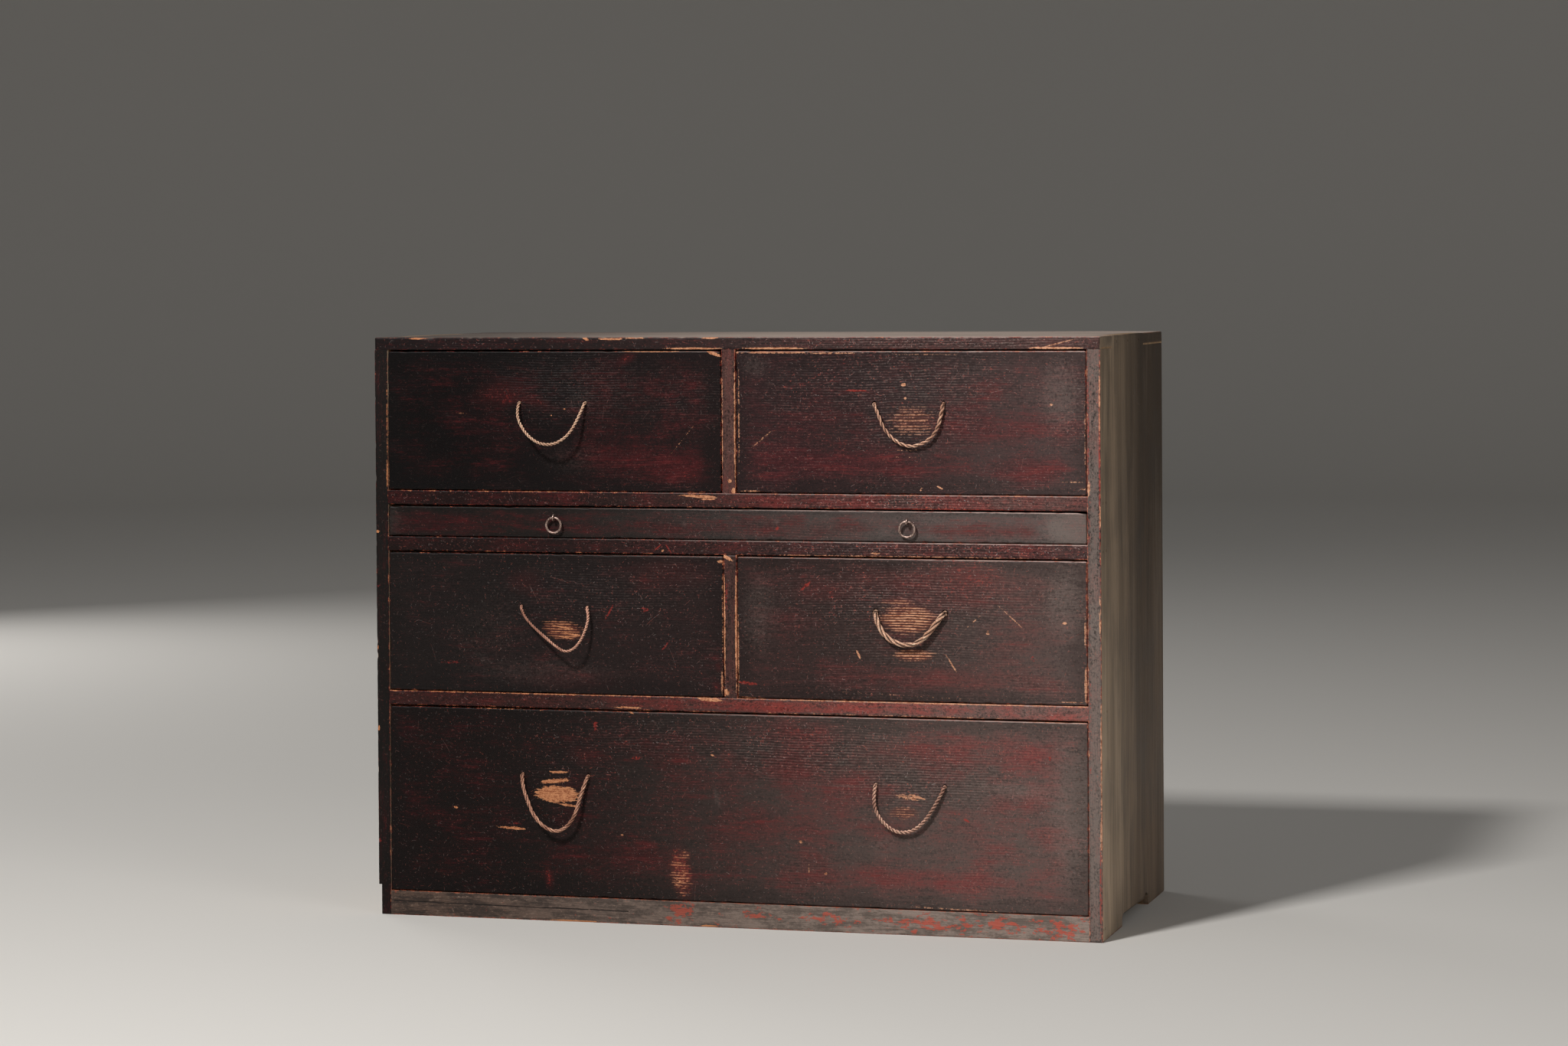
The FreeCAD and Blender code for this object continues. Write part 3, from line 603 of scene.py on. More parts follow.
def whole_copy(node):
    """A board's shape as one closed mesh with undivided faces."""
    work = bmesh.new()
    work.from_mesh(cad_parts[node].data)
    bmesh.ops.remove_doubles(work, verts=work.verts, dist=2e-6)
    bmesh.ops.dissolve_limit(work, angle_limit=math.radians(1.0),
                             verts=work.verts, edges=work.edges)
    return work


def ease(work, edges, width, segments):
    """Rounds some edges, or breaks them with one segment."""
    bmesh.ops.bevel(work, geom=edges, offset=width, offset_type="OFFSET", segments=segments,
                    profile=0.5, affect="EDGES", clamp_overlap=True, material=-1)


def cut_across(work, faces, axis, places):
    """Divides some faces along planes square to an axis."""
    geom = list(dict.fromkeys(edge for face in faces for edge in face.edges))
    geom += list(dict.fromkeys(vert for face in faces for vert in face.verts)) + faces
    normal = axis_way(axis)
    for place in places:
        cut = bmesh.ops.bisect_plane(work, geom=geom, plane_co=normal * place * MM,
                                     plane_no=normal, dist=1e-7)
        geom = cut["geom"]


def grid_places(low, high, pitch, near=()):
    """Even cuts between two ends, with closer ones near each end."""
    count = max(2, round((high - low) / pitch))
    places = [low + (high - low) * number / count for number in range(1, count)]
    return sorted(places + [low + gap for gap in near] + [high - gap for gap in near])


def within(depth):
    """Picks the faces that lie wholly within a depth of the front."""
    return lambda face: all(vert.co.y < (FRONT_Y + depth) * MM for vert in face.verts)


def picked_marks(marks, kind, broad):
    """The marks of one kind; red ones only if they are broad, or only if they aren't."""
    rows = [(*mark, 0)[:6] for mark in marks.get(kind, ())]
    return [row for row in rows if kind != "red" or (min(row[2:4]) >= NARROW) == broad]


def lay_marks(mesh, marks):
    """Writes on each point of a mesh how strongly the broad marks of each kind cover it."""
    for kind in ("wine", "red", "grey", "ribbed"):
        covers = []
        rows = picked_marks(marks, kind, True)
        for vert in mesh.vertices:
            place = vert.co / MM
            found = 0.0
            for x, z, half_w, half_h, strength, turn in rows:
                angle = math.radians(-turn)
                dx, dz = place.x - x, place.z - z
                run = (dx * math.cos(angle) - dz * math.sin(angle)) / half_w
                rise = (dx * math.sin(angle) + dz * math.cos(angle)) / half_h
                near = min(1.0, max(0.0, (1.5 - math.hypot(run, rise)) / 1.3))
                found = max(found, strength * near * near * (3 - 2 * near))
            covers.append(found)
        mesh.attributes.new(kind, "FLOAT", "POINT").data.foreach_set("value", covers)


def shaped_board(node, name, body, slot, material, cuts=(), wear=None, marks=None, eased=None,
                 width=0.0, segments=2, sharp=40):
    """A copy of a board as a piece: picked edges eased, picked faces divided along planes, each
    point moved by wear, and the broad marks written on it."""
    work = whole_copy(node)
    edges = [edge for edge in work.edges if eased(edge)] if eased else []
    if edges:
        ease(work, edges, width * MM, segments)
    for pick, axis, places in cuts:
        cut_across(work, [face for face in work.faces if pick(face)], axis, places)
    if wear:
        for vert in work.verts:
            vert.co = wear(vert.co / MM) * MM
    bmesh.ops.recalc_face_normals(work, faces=work.faces)
    piece = keep(name, settled(work, name, sharp), material)
    seat(piece, body, slot, node)
    if marks:
        lay_marks(piece.data, marks)


def chip(place, seed):
    """How far wear has eaten into an arris at a place, from 0 to 1."""
    at = place / 9.0 + Vector((seed * 3.3, 0, seed * 1.7))
    small = max(0.0, noise.noise(at) - 0.12)
    wide = max(0.0, noise.noise(at * 0.31) + 0.1)
    return min(1.0, 1.6 * small * (0.4 + 2.2 * wide) + 0.25 * wide)


def front_wear(low, high, seed, worn_corner):
    """A front's chipped rim and slight wave, and a top right corner that hands have worn down."""
    def wear(place):
        if place.y < FRONT_Y + FACE_DEPTH:
            gaps = (place.x - low.x, high.x - place.x, place.z - low.z, high.z - place.z)
            rim = min(gaps)
            bite = chip(place, seed) * max(0.0, 1 - rim / CHIP_REACH) ** 1.5
            wave = 0.1 + 0.1 * noise.noise(place / 70.0 + Vector((seed, 0, 0)))
            place.y += wave + 1.5 * bite
            if rim < CHIP_REACH:
                place += INWARD[gaps.index(rim)] * bite * 0.7
        if worn_corner:
            run = (place.x - high.x + WORN_CORNER_WIDE) / WORN_CORNER_WIDE
            run = min(1.0, max(0.0, run))
            top = min(1.0, max(0.0, (place.z - high.z + WORN_CORNER_HIGH) / WORN_CORNER_HIGH))
            place.z -= WORN_CORNER_DEEP * run * run * top
        return place
    return wear


def marked(finish, flat, marks, kind):
    """How strongly the narrow marks of one kind cover a place, if there are any."""
    covers = []
    for x, z, half_w, half_h, strength, turn in picked_marks(marks, kind, False):
        local = finish.node("Mapping", {"vector_type": "TEXTURE"}, {
            "Vector": flat, "Location": (x, z, 0),
            "Rotation": (0, 0, math.radians(turn)), "Scale": (half_w, half_h, 1)})
        covers.append(finish.ramp(finish.vector("LENGTH", {0: local}, 1), 1.4, 0.4, 0.0, strength))
    return finish.most(*covers) if covers else None


def scratches(finish, flat, cell, length, width, share, drift, level=0.5):
    """Short straight scratches scattered over the face, one to a cell, some cells empty."""
    scaled = finish.vector("SCALE", {0: flat, "Scale": 1 / cell})
    moved = finish.vector("ADD", {0: scaled, 1: (drift, drift, 0)})
    colour = finish.node("TexVoronoi", {"voronoi_dimensions": "2D"},
                         {"Vector": moved, "Scale": 1.0}, "Color")
    chance = finish.parts(colour)
    centre = Wire(finish, colour.socket.node.outputs["Position"])
    turned = finish.node("VectorRotate", {"rotation_type": "Z_AXIS"},
                         {"Vector": finish.vector("SUBTRACT", {0: moved, 1: centre}),
                          "Angle": (chance[0] - level) * 3.4})
    run, across, _ = finish.parts(turned)
    bent = across + run * run * chance[1].off * 0.5
    half = chance[1] * (length / cell / 2)
    ends = finish.ramp(finish.maths("ABSOLUTE", run) / (half + 0.002), 1.0, 0.6)
    sides = finish.ramp(finish.maths("ABSOLUTE", bent), width / cell, width / cell * 0.3)
    return ends * sides * finish.ramp(chance[2], share, share * 0.3)


def lacquered(finish, low, high, tones, marks, rims, seed, upright=False, wine=0.5,
              dark_rim=34.0, pitch=3.1, lined=(0.12, 0.52), nicked=(0.2, 0.8), grained=0.42,
              flecked=0.67):
    """Wine-black lacquer over ridged wood, between two corners in millimetres. The tones are
    plain left and right, then wine left and right; rims gives how far the top, bottom, left and
    right arrises are rubbed through. The lightening from left to right, in the tones and in the
    colours that follow reach across the chest, is partly grey bloom and partly painted sheen.
    Returns the colour, how bare it is, how nicked, the relief in millimetres and the finest noise."""
    mix, ramp, most, grain = finish.mix, finish.ramp, finish.most, finish.grain
    place = finish.place()
    x, y, z = finish.parts(place)
    flat = finish.join(x, z, 0.0)
    along, across = (z, x) if upright else (x, z)
    drift = seed * 17.3
    # reach runs across the whole chest; colours that follow it lighten to the right, partly grey
    # bloom and partly painted sheen
    reach = ramp(x, PLACE_LEFT, PLACE_RIGHT)

    # the wood's ridges, and noises from broad to fine
    warp = grain(along * 0.004 + drift, y * 0.01, across * 0.01)
    bowed = across + warp.off * 14.0
    sway = grain(along * 0.03, drift, bowed * 0.25)
    ridges = finish.maths("SINE", bowed * (math.tau / pitch) + sway * 3.0) * 0.5 + 0.5
    broken = grain(along * 0.16 + drift, y * 0.2, bowed * 0.6, 3.0, 0.62)
    streak = grain(along * 0.02 + drift, y * 0.1, bowed * 0.18, 5.0, 0.66)
    fine = grain(along * 0.16 + drift, y * 0.3, bowed * 1.2, 4.0, 0.7)
    mottle = grain(x * 0.014 + drift * 9, y * 0.02, z * 0.022, 5.0, 0.6)
    shade = grain(x * 0.006 + drift * 3, y * 0.02, z * 0.01)
    flake = finish.cloud(place, 0.36, 5.0, 0.75)
    edge = finish.cloud(place, 0.11, 5.0, 0.75)
    wine_cover, red_cover, grey_cover, zone = (
        finish.written(kind) for kind in ("wine", "red", "grey", "ribbed"))
    ribbed = most(ramp(mottle + shade.off * 0.6, 0.42, 0.68) * 0.35, zone)

    # the lacquer's tone, darker along the rim, with wine clouds where it has thinned
    gaps = [high.z - z, z - low.z, x - low.x, high.x - x]
    nearest = finish.maths("MINIMUM", finish.maths("MINIMUM", *gaps[:2]),
                           finish.maths("MINIMUM", *gaps[2:]))
    # share lightens the tones towards the board's right end: partly grey bloom, partly painted
    # sheen
    share = finish.maths("POWER", ramp(x, low.x, high.x), 1.7)
    left, right, wine_left, wine_right = tones
    deep = mix(reach, (78, 18, 21), (116, 48, 46))
    grey = mix(reach, (74, 66, 62), (136, 122, 114))
    brick = mix(reach, (116, 36, 32), BRICK)
    inner = ramp(nearest + shade.off * dark_rim * 1.4 + mottle.off * dark_rim * 1.4
                 + streak.off * dark_rim * 0.6, 0.0, dark_rim)
    tone = mix((1.0 - inner) * 0.3, mix(share, left, right), (11, 10, 10))
    cover = mottle.off * 2.3 + streak.off * 0.8 + fine.off * 1.0 + flake.off * 0.9 + wine * 0.9 \
        - 0.2 + wine_cover * 0.7
    cover = ramp(cover, 0.0, 1.15) * inner
    colour = mix(cover, tone, mix(share, wine_left, wine_right))
    colour = mix(ramp(streak + fine.off * 0.8, 0.5, 0.74) * cover * 0.55, colour, deep)
    colour = mix(ramp(streak * 0.4 + fine * 0.6 + flake.off * 0.9, 0.54, 0.3) * grained, colour,
                 INK)

    # dark furrows and grey crests where the ridges show, and grey haze
    furrow = ramp(ridges * 0.45 + broken * 0.8 + flake.off * 0.5, 0.66, 0.42)
    colour = mix(furrow * ribbed * 0.5, colour, (15, 11, 11))
    raised = ramp(ridges * 0.3 + broken * 0.9 + fine.off * 0.9 + flake.off * 0.9, 0.68, 0.9)
    colour = mix(raised * ribbed * ramp(x, PLACE_LEFT, PLACE_RIGHT, *lined), colour, grey)
    haze = ramp(grey_cover * 0.8 + fine.off * 1.2 + flake.off * 1.6, 0.1, 1.1)
    colour = mix(haze * 0.28 * ramp(grey_cover, 0.0, 0.6), colour, grey)

    # red specks and patches
    rubbed = flake.off * 1.8 + broken.off * 0.9 + fine.off * 0.7
    speck = ramp(rubbed + shade.off * 1.0 + ribbed * 0.2 + reach * 0.16, 0.6, 0.78) * 0.85
    colour = mix(red_cover * 0.36, colour, deep)
    speck = most(speck, ramp(red_cover + rubbed * 1.5, 0.6, 1.05) * ramp(red_cover, 0.0, 0.3))
    scars = marked(finish, flat, marks, "red")
    if scars:
        speck = most(speck, ramp(scars + rubbed, 0.4, 0.65) * ramp(scars, 0.02, 0.2))
    colour = mix(speck * 0.7, colour, brick)

    # nicks and flecks, and the light caught by the upper arris
    busy = ramp(shade * 0.4 + mottle * 0.4 + zone * 0.24, 0.34, 0.62, 0.4, 1.0)
    dust = grain(x * 0.26 + drift, y * 0.2, z * 0.5 + x * 0.1, 3.0, 0.65)
    flecks = ramp(dust + flake.off * 0.6, flecked, flecked + 0.11)
    small = scratches(finish, flat, 4.2, 3.6, 0.42, 0.42, drift + 3.1, 0.55)
    middle = scratches(finish, flat, 11.0, 7.0, 0.44, 0.4, drift + 7.7, 0.45)
    long = scratches(finish, flat, 44.0, 30.0, 0.4, 0.3, drift + 1.3) * 0.7
    nicks = most(flecks, most(small, middle, long) * ramp(flake, 0.3, 0.5)) * busy
    scraped = mix(ramp(broken + flake.off * 0.5, 0.44, 0.56), (150, 140, 135), (172, 84, 68))
    colour = mix(nicks * ramp(x, low.x, high.x, *nicked), colour, scraped)
    catch = ramp(gaps[0] + edge.off * 2.4, 1.5, 0.7) * ramp(x, -300.0, PLACE_RIGHT)
    colour = mix(catch * 0.7, colour, (186, 158, 148))

    # bare wood: along the arrises, in lines, in patches and on the crests of ridges
    rim = most(*(strength - gap / 2.4 for gap, strength in zip(gaps, rims)))
    rim = rim + edge.off * 3.4 + flake.off * 1.2
    colour = mix(ramp(rim, 0.0, 0.4) * 0.6, colour, brick)
    bare = ramp(rim, 0.36, 0.62)
    lines = marked(finish, flat, marks, "line")
    if lines:
        drawn = ramp(lines + flake.off * 2.2 + edge.off * 1.6, 0.4, 0.75)
        bare = most(bare, drawn * ramp(lines, 0.02, 0.3) * 0.8)
    patches = marked(finish, flat, marks, "bare")
    if patches:
        laid = patches * 1.1 + broken.off * 1.5 + fine.off * 1.0 + flake.off * 0.9
        bare = most(bare, ramp(laid, 0.5, 0.66) * ramp(patches, 0.02, 0.2))
    bars = marked(finish, flat, marks, "ribs")
    if bars:
        lengths = grain(along * 0.004 + drift, 0.0, bowed * 0.36, 1.0)
        laid = bars * 1.25 + ridges.off * 0.7 + broken.off * 2.0 + lengths.off * 1.8 \
            + flake.off * 1.1
        around = ramp(bars + rubbed * 0.4, 0.2, 0.7) * ramp(bars, 0.0, 0.12)
        colour = mix(around * 0.62, colour, mix(reach, (104, 50, 42), (134, 78, 66)))
        colour = mix(around * ramp(ridges + broken.off * 0.5, 0.42, 0.2) * 0.8, colour,
                     (40, 25, 24))
        bare = most(bare, ramp(laid, 0.66, 1.0) * ramp(ridges, 0.25, 0.55)
                    * ramp(bars, 0.2, 0.76, 0.4, 0.94) * ramp(bars, 0.02, 0.2))
    wood = mix(ramp(fine + flake.off * 0.8, 0.32, 0.62), BARE_DARK,
               mix(reach, BARE_LIGHT, BARE_PALE))
    colour = mix(bare * 0.93, colour, wood)
    height = ridges * ribbed * 0.22 + broken * (ribbed * 0.16 + 0.04) + fine * 0.12 \
        + flake * 0.1 + streak * 0.12
    return colour, bare, nicks, height, flake


def worn_lacquer(name, node, tones, marks, rims, seed, **kinds):
    """The whole of a lacquered member: the lacquer in front, bare wood behind."""
    low, high = limits(node)
    finish = Finish(name, 0.12)
    mix, ramp = finish.mix, finish.ramp
    colour, bare, nicks, height, flake = lacquered(finish, low, high, tones, marks, rims, seed,
                                                   **kinds)
    x, y, z = finish.parts(finish.place())
    drawn = finish.grain(x * 0.02, y * 0.2, z * 0.3, 3.0, 0.6)
    raw = mix(ramp(drawn, 0.35, 0.65), RAW_DARK, RAW_LIGHT)
    behind = ramp(y + flake.off * 4.0, FRONT_Y + 4.0, FRONT_Y + 8.0)
    roughness = finish.maths("MINIMUM", 0.9, 0.4 + bare * 0.34 + behind * 0.3 + nicks * 0.2)
    return finish.done(mix(behind, colour, raw), roughness, height)


TOP_LEFT_MARKS = {
    "ribbed": [(-205, 650, 120, 52, 0.9), (-80, 640, 90, 40, 0.5)],
    "wine": [(-284, 642, 44, 24, 0.9, 35), (-104, 654, 30, 15, 0.4), (-66, 555, 52, 22, 0.9),
             (-125, 563, 70, 26, 0.45), (-372, 542, 62, 19, 0.4), (-354, 615, 50, 21, 0.3),
             (-232, 676, 108, 15, 0.25)],
    "red": [(-290, 645, 34, 16, 0.42, 10), (-281, 636, 13, 6, 0.7, 20),
            (-244, 634, 20, 7, 0.4, -20), (-129, 686, 13, 6, 0.6, 25),
            (-50, 545, 22, 7, 0.45, -10), (-45, 569, 14, 9, 0.2, -20)],
    "grey": [(-200, 564, 49, 26, 0.45), (-188, 632, 22, 24, 0.5, -20)],
    "line": [(-393, 696, 18, 1.2, 0.9), (-95, 695, 46, 1.2, 1.0), (-438, 601, 1.1, 32, 0.6),
             (-438, 544, 1.3, 23, 0.9), (-60, 586, 0.6, 32, 0.4, -40),
             (-352, 620, 26, 0.6, 0.35, -4)],
    "bare": [(-208, 625, 1.5, 0.9, 0.9), (-225, 617, 1.0, 0.8, 0.9), (-18, 692, 11, 2.2, 1, -20)]}
TOP_RIGHT_MARKS = {
    "ribbed": [(210, 655, 150, 42, 0.75), (226, 608, 90, 32, 0.8), (90, 640, 70, 42, 0.5)],
    "wine": [(146, 560, 142, 22, 0.8), (375, 554, 50, 18, 0.7), (61, 546, 40, 13, 0.6),
             (85, 616, 57, 30, 0.35), (329, 604, 83, 30, 0.4)],
    "red": [(375, 549, 24, 8, 0.25), (159, 648, 15, 1.4, 0.8), (325, 648, 13, 8, 0.4, -25)],
    "grey": [(407, 641, 31, 54, 0.8), (33, 678, 23, 18, 0.6)],
    "line": [(42, 590, 1.2, 24, 0.45, -52), (420, 541, 17, 0.8, 0.6), (57, 693.4, 54, 1.3, 0.9),
             (130, 692.8, 36, 1.2, 0.7), (238, 691, 56, 0.8, 0.4), (13, 616, 1.1, 78, 0.55),
             (27, 527, 15, 1.2, 0.7), (434, 533, 5, 1.4, 0.7), (436, 600, 1.0, 60, 0.5)],
    "bare": [(217, 655, 3.4, 2.2, 1), (219, 639, 1.8, 1.3, 0.95), (222, 577, 16, 1.2, 0.4),
             (220, 569, 18, 1.2, 0.34), (261, 533, 4.6, 1.2, 1, -25),
             (238, 531, 3.6, 1.4, 0.7, 60), (396, 632, 2.4, 1.4, 0.7)],
    "ribs": [(226, 613, 32, 20, 0.44)]}
SHALLOW_MARKS = {
    "wine": [(-325, 488, 60, 11, 0.5), (310, 482, 83, 9, 0.5), (-128, 481, 88, 9, 0.3),
             (122, 486, 57, 11, 0.3)],
    "red": [(60, 483, 2.3, 3.7, 0.6)],
    "grey": [(-433, 486, 24, 21, 0.6), (-57, 486, 4.8, 4.6, 0.9), (-57, 476, 10, 2.8, 0.5),
             (59, 491, 4.8, 4.6, 0.9), (426, 486, 40, 30, 1.8), (-436, 486, 20, 24, 0.8)]}
MIDDLE_LEFT_MARKS = {
    "ribbed": [(-190, 400, 130, 44, 0.8), (-70, 420, 60, 26, 0.6)],
    "wine": [(-250, 300, 150, 24, 0.3)],
    "red": [(-260, 414, 22, 15, 0.3), (-76, 426, 50, 18, 0.3), (-210, 296, 70, 14, 0.2),
            (-108, 420, 8, 6, 0.5, -30), (-152, 379, 13, 1.4, 0.7, 60), (-108, 382, 7, 3.7, 0.5),
            (-82, 338, 9, 1.6, 0.6, 50), (-356, 314, 16, 2.8, 0.45), (-14, 315, 4.8, 6, 0.5),
            (-16, 291, 6, 7, 0.5)],
    "grey": [(-240, 304, 120, 22, 0.6), (-316, 320, 20, 8, 0.6, -30), (-306, 357, 70, 56, 0.4)],
    "line": [(-9, 381, 1.0, 65, 0.5), (-10, 298, 1.5, 17, 0.8), (-438, 302, 1.2, 21, 0.7)],
    "bare": [(-211, 359, 17, 1.1, 0.8, -8), (-200, 350.5, 14, 1.3, 0.85, -8),
             (-206, 346, 9, 1.1, 0.6, -8), (-11, 442, 4.8, 2.2, 0.8)],
    "ribs": [(-212, 355, 27, 13, 0.62, -8)]}
MIDDLE_RIGHT_MARKS = {
    "ribbed": [(215, 400, 150, 40, 1.0), (330, 400, 90, 30, 0.5), (224, 345, 110, 26, 0.6)],
    "wine": [(272, 418, 93, 24, 0.4), (253, 304, 122, 15, 0.7)],
    "red": [(122, 409, 46, 14, 0.4), (127, 405, 6, 9, 0.6), (95, 414, 10, 2.2, 0.7, 40),
            (290, 422, 70, 15, 0.42), (190, 424, 60, 14, 0.34), (262, 396, 60, 12, 0.3),
            (372, 332, 3.7, 3.6, 0.5), (178, 306, 4.7, 6, 0.45), (22, 296, 14, 2.4, 0.8, -5)],
    "grey": [(36, 382, 29, 64, 0.6), (411, 397, 29, 54, 0.8)],
    "line": [(347, 380, 0.9, 23, 0.6, 48), (300, 374, 0.9, 17, 0.5, -48),
             (274, 324, 1.1, 15, 0.75, 32), (435, 367, 1.2, 20, 0.9), (435.5, 304, 1.7, 24, 1),
             (10.5, 326, 1.2, 60, 0.75), (35, 278, 25, 1.1, 0.8, -3),
             (200, 286, 120, 0.6, 0.3, -2), (419, 282, 18, 1.0, 0.7)],
    "bare": [(160, 333, 1.4, 7, 0.9, 25), (318, 362, 2.4, 4, 0.8), (411, 375, 4.0, 1.8, 0.7)],
    "ribs": [(221, 377, 36, 18, 0.78), (208, 397, 24, 5, 0.5), (228, 334, 26, 9, 0.66)]}
BOTTOM_MARKS = {
    "ribbed": [(-100, 225, 150, 26, 0.8), (90, 215, 160, 36, 1.0), (230, 190, 110, 44, 0.9),
               (-200, 190, 80, 26, 0.5)],
    "wine": [(-387, 238, 60, 19, 0.3), (-91, 212, 97, 24, 0.4), (-140, 85, 127, 15, 0.5),
             (82, 199, 105, 46, 0.6), (44, 124, 153, 28, 0.35), (233, 64, 141, 15, 0.7),
             (317, 214, 93, 27, 0.7)],
    "red": [(-278, 118, 17, 1.6, 0.4), (-63, 66, 14, 32, 0.9, 12), (-232, 53, 6, 13, 0.7, 10),
            (-180, 203, 26, 9, 0.35), (-171, 240, 2.9, 7, 0.6), (-120, 202, 9, 2.8, 0.5),
            (-4, 205, 10, 12, 0.4), (-105, 99, 9, 4.6, 0.4), (224, 216, 66, 16, 0.35),
            (275, 148, 20, 4.5, 0.5, -10), (291, 139, 4.7, 1.8, 0.7, -30),
            (392, 215, 2, 3.6, 0.8)],
    "grey": [(-17, 156, 4.8, 14, 0.8, 10), (190, 103, 17, 15, 0.6, 20),
             (363, 175, 74, 13, 0.8, -4), (418, 154, 33, 99, 0.9), (142, 176, 66, 1.5, 0.7, -2)],
    "line": [(97, 75, 0.9, 7, 0.6), (401, 258, 44, 0.9, 0.8), (279, 33, 60, 1.0, 0.6, -1),
             (-307, 258, 80, 1.0, 0.5, -1), (60, 258.6, 300, 0.8, 0.5)],
    "bare": [(-220, 155, 30, 11, 1.15, -2), (-224, 171, 22, 3.2, 0.85, 6),
             (-219, 182, 14, 1.8, 0.75), (-206, 142, 18, 1.6, 0.8, -6),
             (-280, 112, 20, 1.8, 0.95, -2), (-65, 58, 11, 15, 0.38, 6),
             (-23, 208, 2.4, 1.4, 1, -10), (-352, 135, 3.6, 1.7, 0.7, -20),
             (-138, 108, 2.2, 1.2, 0.8), (221, 164, 19, 4.0, 0.6, -6),
             (231, 165, 11, 1.7, 0.95, -14), (87, 107, 2.4, 2.2, 0.7), (118, 70, 2.2, 1.6, 0.8),
             (-127, 258, 6, 1.3, 0.8, -30)],
    "ribs": [(-64, 62, 14, 30, 0.45, 8), (-59, 87, 9, 6, 0.5, 10), (214, 146, 22, 9, 0.5)]}
# The tones of each front lighten to its right and across the chest: partly grey bloom, partly
# painted sheen.
FRONTS = (  # drawer, tones, marks, rims, seed, wine, dark rim, nicks left and right, flecks
    ("top_left_drawer", ((9, 6, 6), (30, 20, 20), (26, 9, 10), (66, 22, 24)), TOP_LEFT_MARKS,
     (0.15, 0.1, 0.15, 0.15), 1, 0.5, 40.0, (0.1, 0.24), 0.67),
    ("top_right_drawer", ((44, 31, 31), (76, 62, 60), (66, 30, 32), (90, 48, 48)),
     TOP_RIGHT_MARKS, (0.3, 0.1, 0.25, 0.35), 2, 0.5, 34.0, (0.5, 0.7), 0.65),
    ("shallow_drawer", ((26, 22, 20), (98, 88, 84), (46, 17, 18), (94, 54, 52)),
     SHALLOW_MARKS, (0.0, 0.0, 0.1, 0.15), 3, 0.6, 11.0, (0.24, 0.6), 0.67),
    ("middle_left_drawer", ((26, 21, 20), (38, 28, 27), (42, 27, 26), (54, 28, 28)),
     MIDDLE_LEFT_MARKS, (0.1, 0.05, 0.2, 0.2), 4, 0.35, 30.0, (0.3, 0.5), 0.67),
    ("middle_right_drawer", ((50, 38, 36), (88, 74, 70), (74, 42, 41), (108, 68, 64)),
     MIDDLE_RIGHT_MARKS, (0.15, 0.15, 0.25, 0.5), 5, 0.5, 30.0, (0.65, 0.8), 0.65),
    ("bottom_drawer", ((19, 13, 12), (96, 82, 77), (34, 12, 13), (124, 69, 66)),
     BOTTOM_MARKS, (0.2, 0.1, 0.2, 0.25), 6, 0.5, 34.0, (0.34, 0.9), 0.65))
for drawer, tones, marks, rims, seed, wine, dark_rim, nicked, flecked in FRONTS:
    node = drawer + "_front"
    low, high = limits(node)
    lacquer = worn_lacquer(drawer + "_lacquer", node, tones, marks, rims, seed, wine=wine,
                           dark_rim=dark_rim, nicked=nicked, flecked=flecked)
    cuts = [(within(FACE_DEPTH), 0, grid_places(low.x + 1, high.x - 1, GRID_X, RIM_CUTS)),
            (within(FACE_DEPTH), 2, grid_places(low.z + 1, high.z - 1, GRID_Z, RIM_CUTS))]
    shaped_board(node, drawer + "_worn_front", drawer, "drawer_front_lacquer", lacquer, cuts,
                 front_wear(low, high, seed, drawer == "shallow_drawer"), marks, sharp=50)


# The rails and dividers: narrow members of the same lacquered wood, tenoned into the sides and
# flush with them in front. Their front arrises are rubbed red and orange by the drawers.
# Each is a copy of its board with the front arrises eased and then worn unevenly.
RAIL_EASE = 0.9
RAIL_GRID = 3.0
RAIL_HALF = 438.3
RAIL_CUTS = (1.8, 5, 12.4, 15.6)
DIVIDER_CUTS = (1.8, 5)


def rail_arrises(axis, low, high):
    """Picks the two long front arrises of a member that is narrow along an axis."""
    def eased(edge):
        a, b = (vert.co / MM for vert in edge.verts)
        if abs(a[axis] - b[axis]) >= 0.01 or max(a.y, b.y) >= FRONT_Y + 0.1:
            return False
        return abs(a[axis] - low[axis]) < 0.1 or abs(a[axis] - high[axis]) < 0.1
    return eased


def rail_wear(axis, low, high, seed):
    """Wear of those two arrises, where drawers have rubbed them, and a slight wave."""
    def wear(place):
        if place.y > FRONT_Y + 3.0:
            return place
        gap, inward = min((place[axis] - low[axis], axis_way(axis)),
                          (high[axis] - place[axis], -axis_way(axis)), key=lambda pair: pair[0])
        depth = place.y - FRONT_Y
        bite = chip(place, seed) * max(0.0, 1 - max(gap, depth) / 2.6) ** 1.3
        wave = (0.06 + 0.08 * noise.noise(place / 40.0)) * (depth < 0.5)
        return place + Vector((0, 1, 0)) * wave + (inward * 0.8 + Vector((0, 0.8, 0))) * bite
    return wear


def front_member(node, axis, material, marks, seed, across):
    """A rail or divider, narrow along an axis, cut across at the given places."""
    low, high = limits(node)
    long = grid_places(-RAIL_HALF, RAIL_HALF, RAIL_GRID) if axis == 2 \
        else grid_places(low.z + 6, high.z - 6, RAIL_GRID)
    band = within(RAIL_EASE + 0.05)
    shaped_board(node, "weathered_" + node, "case", "rail_lacquer", material,
                 [(band, 2 - axis, long), (band, axis, across)], rail_wear(axis, low, high, seed),
                 marks, rail_arrises(axis, low, high), RAIL_EASE)


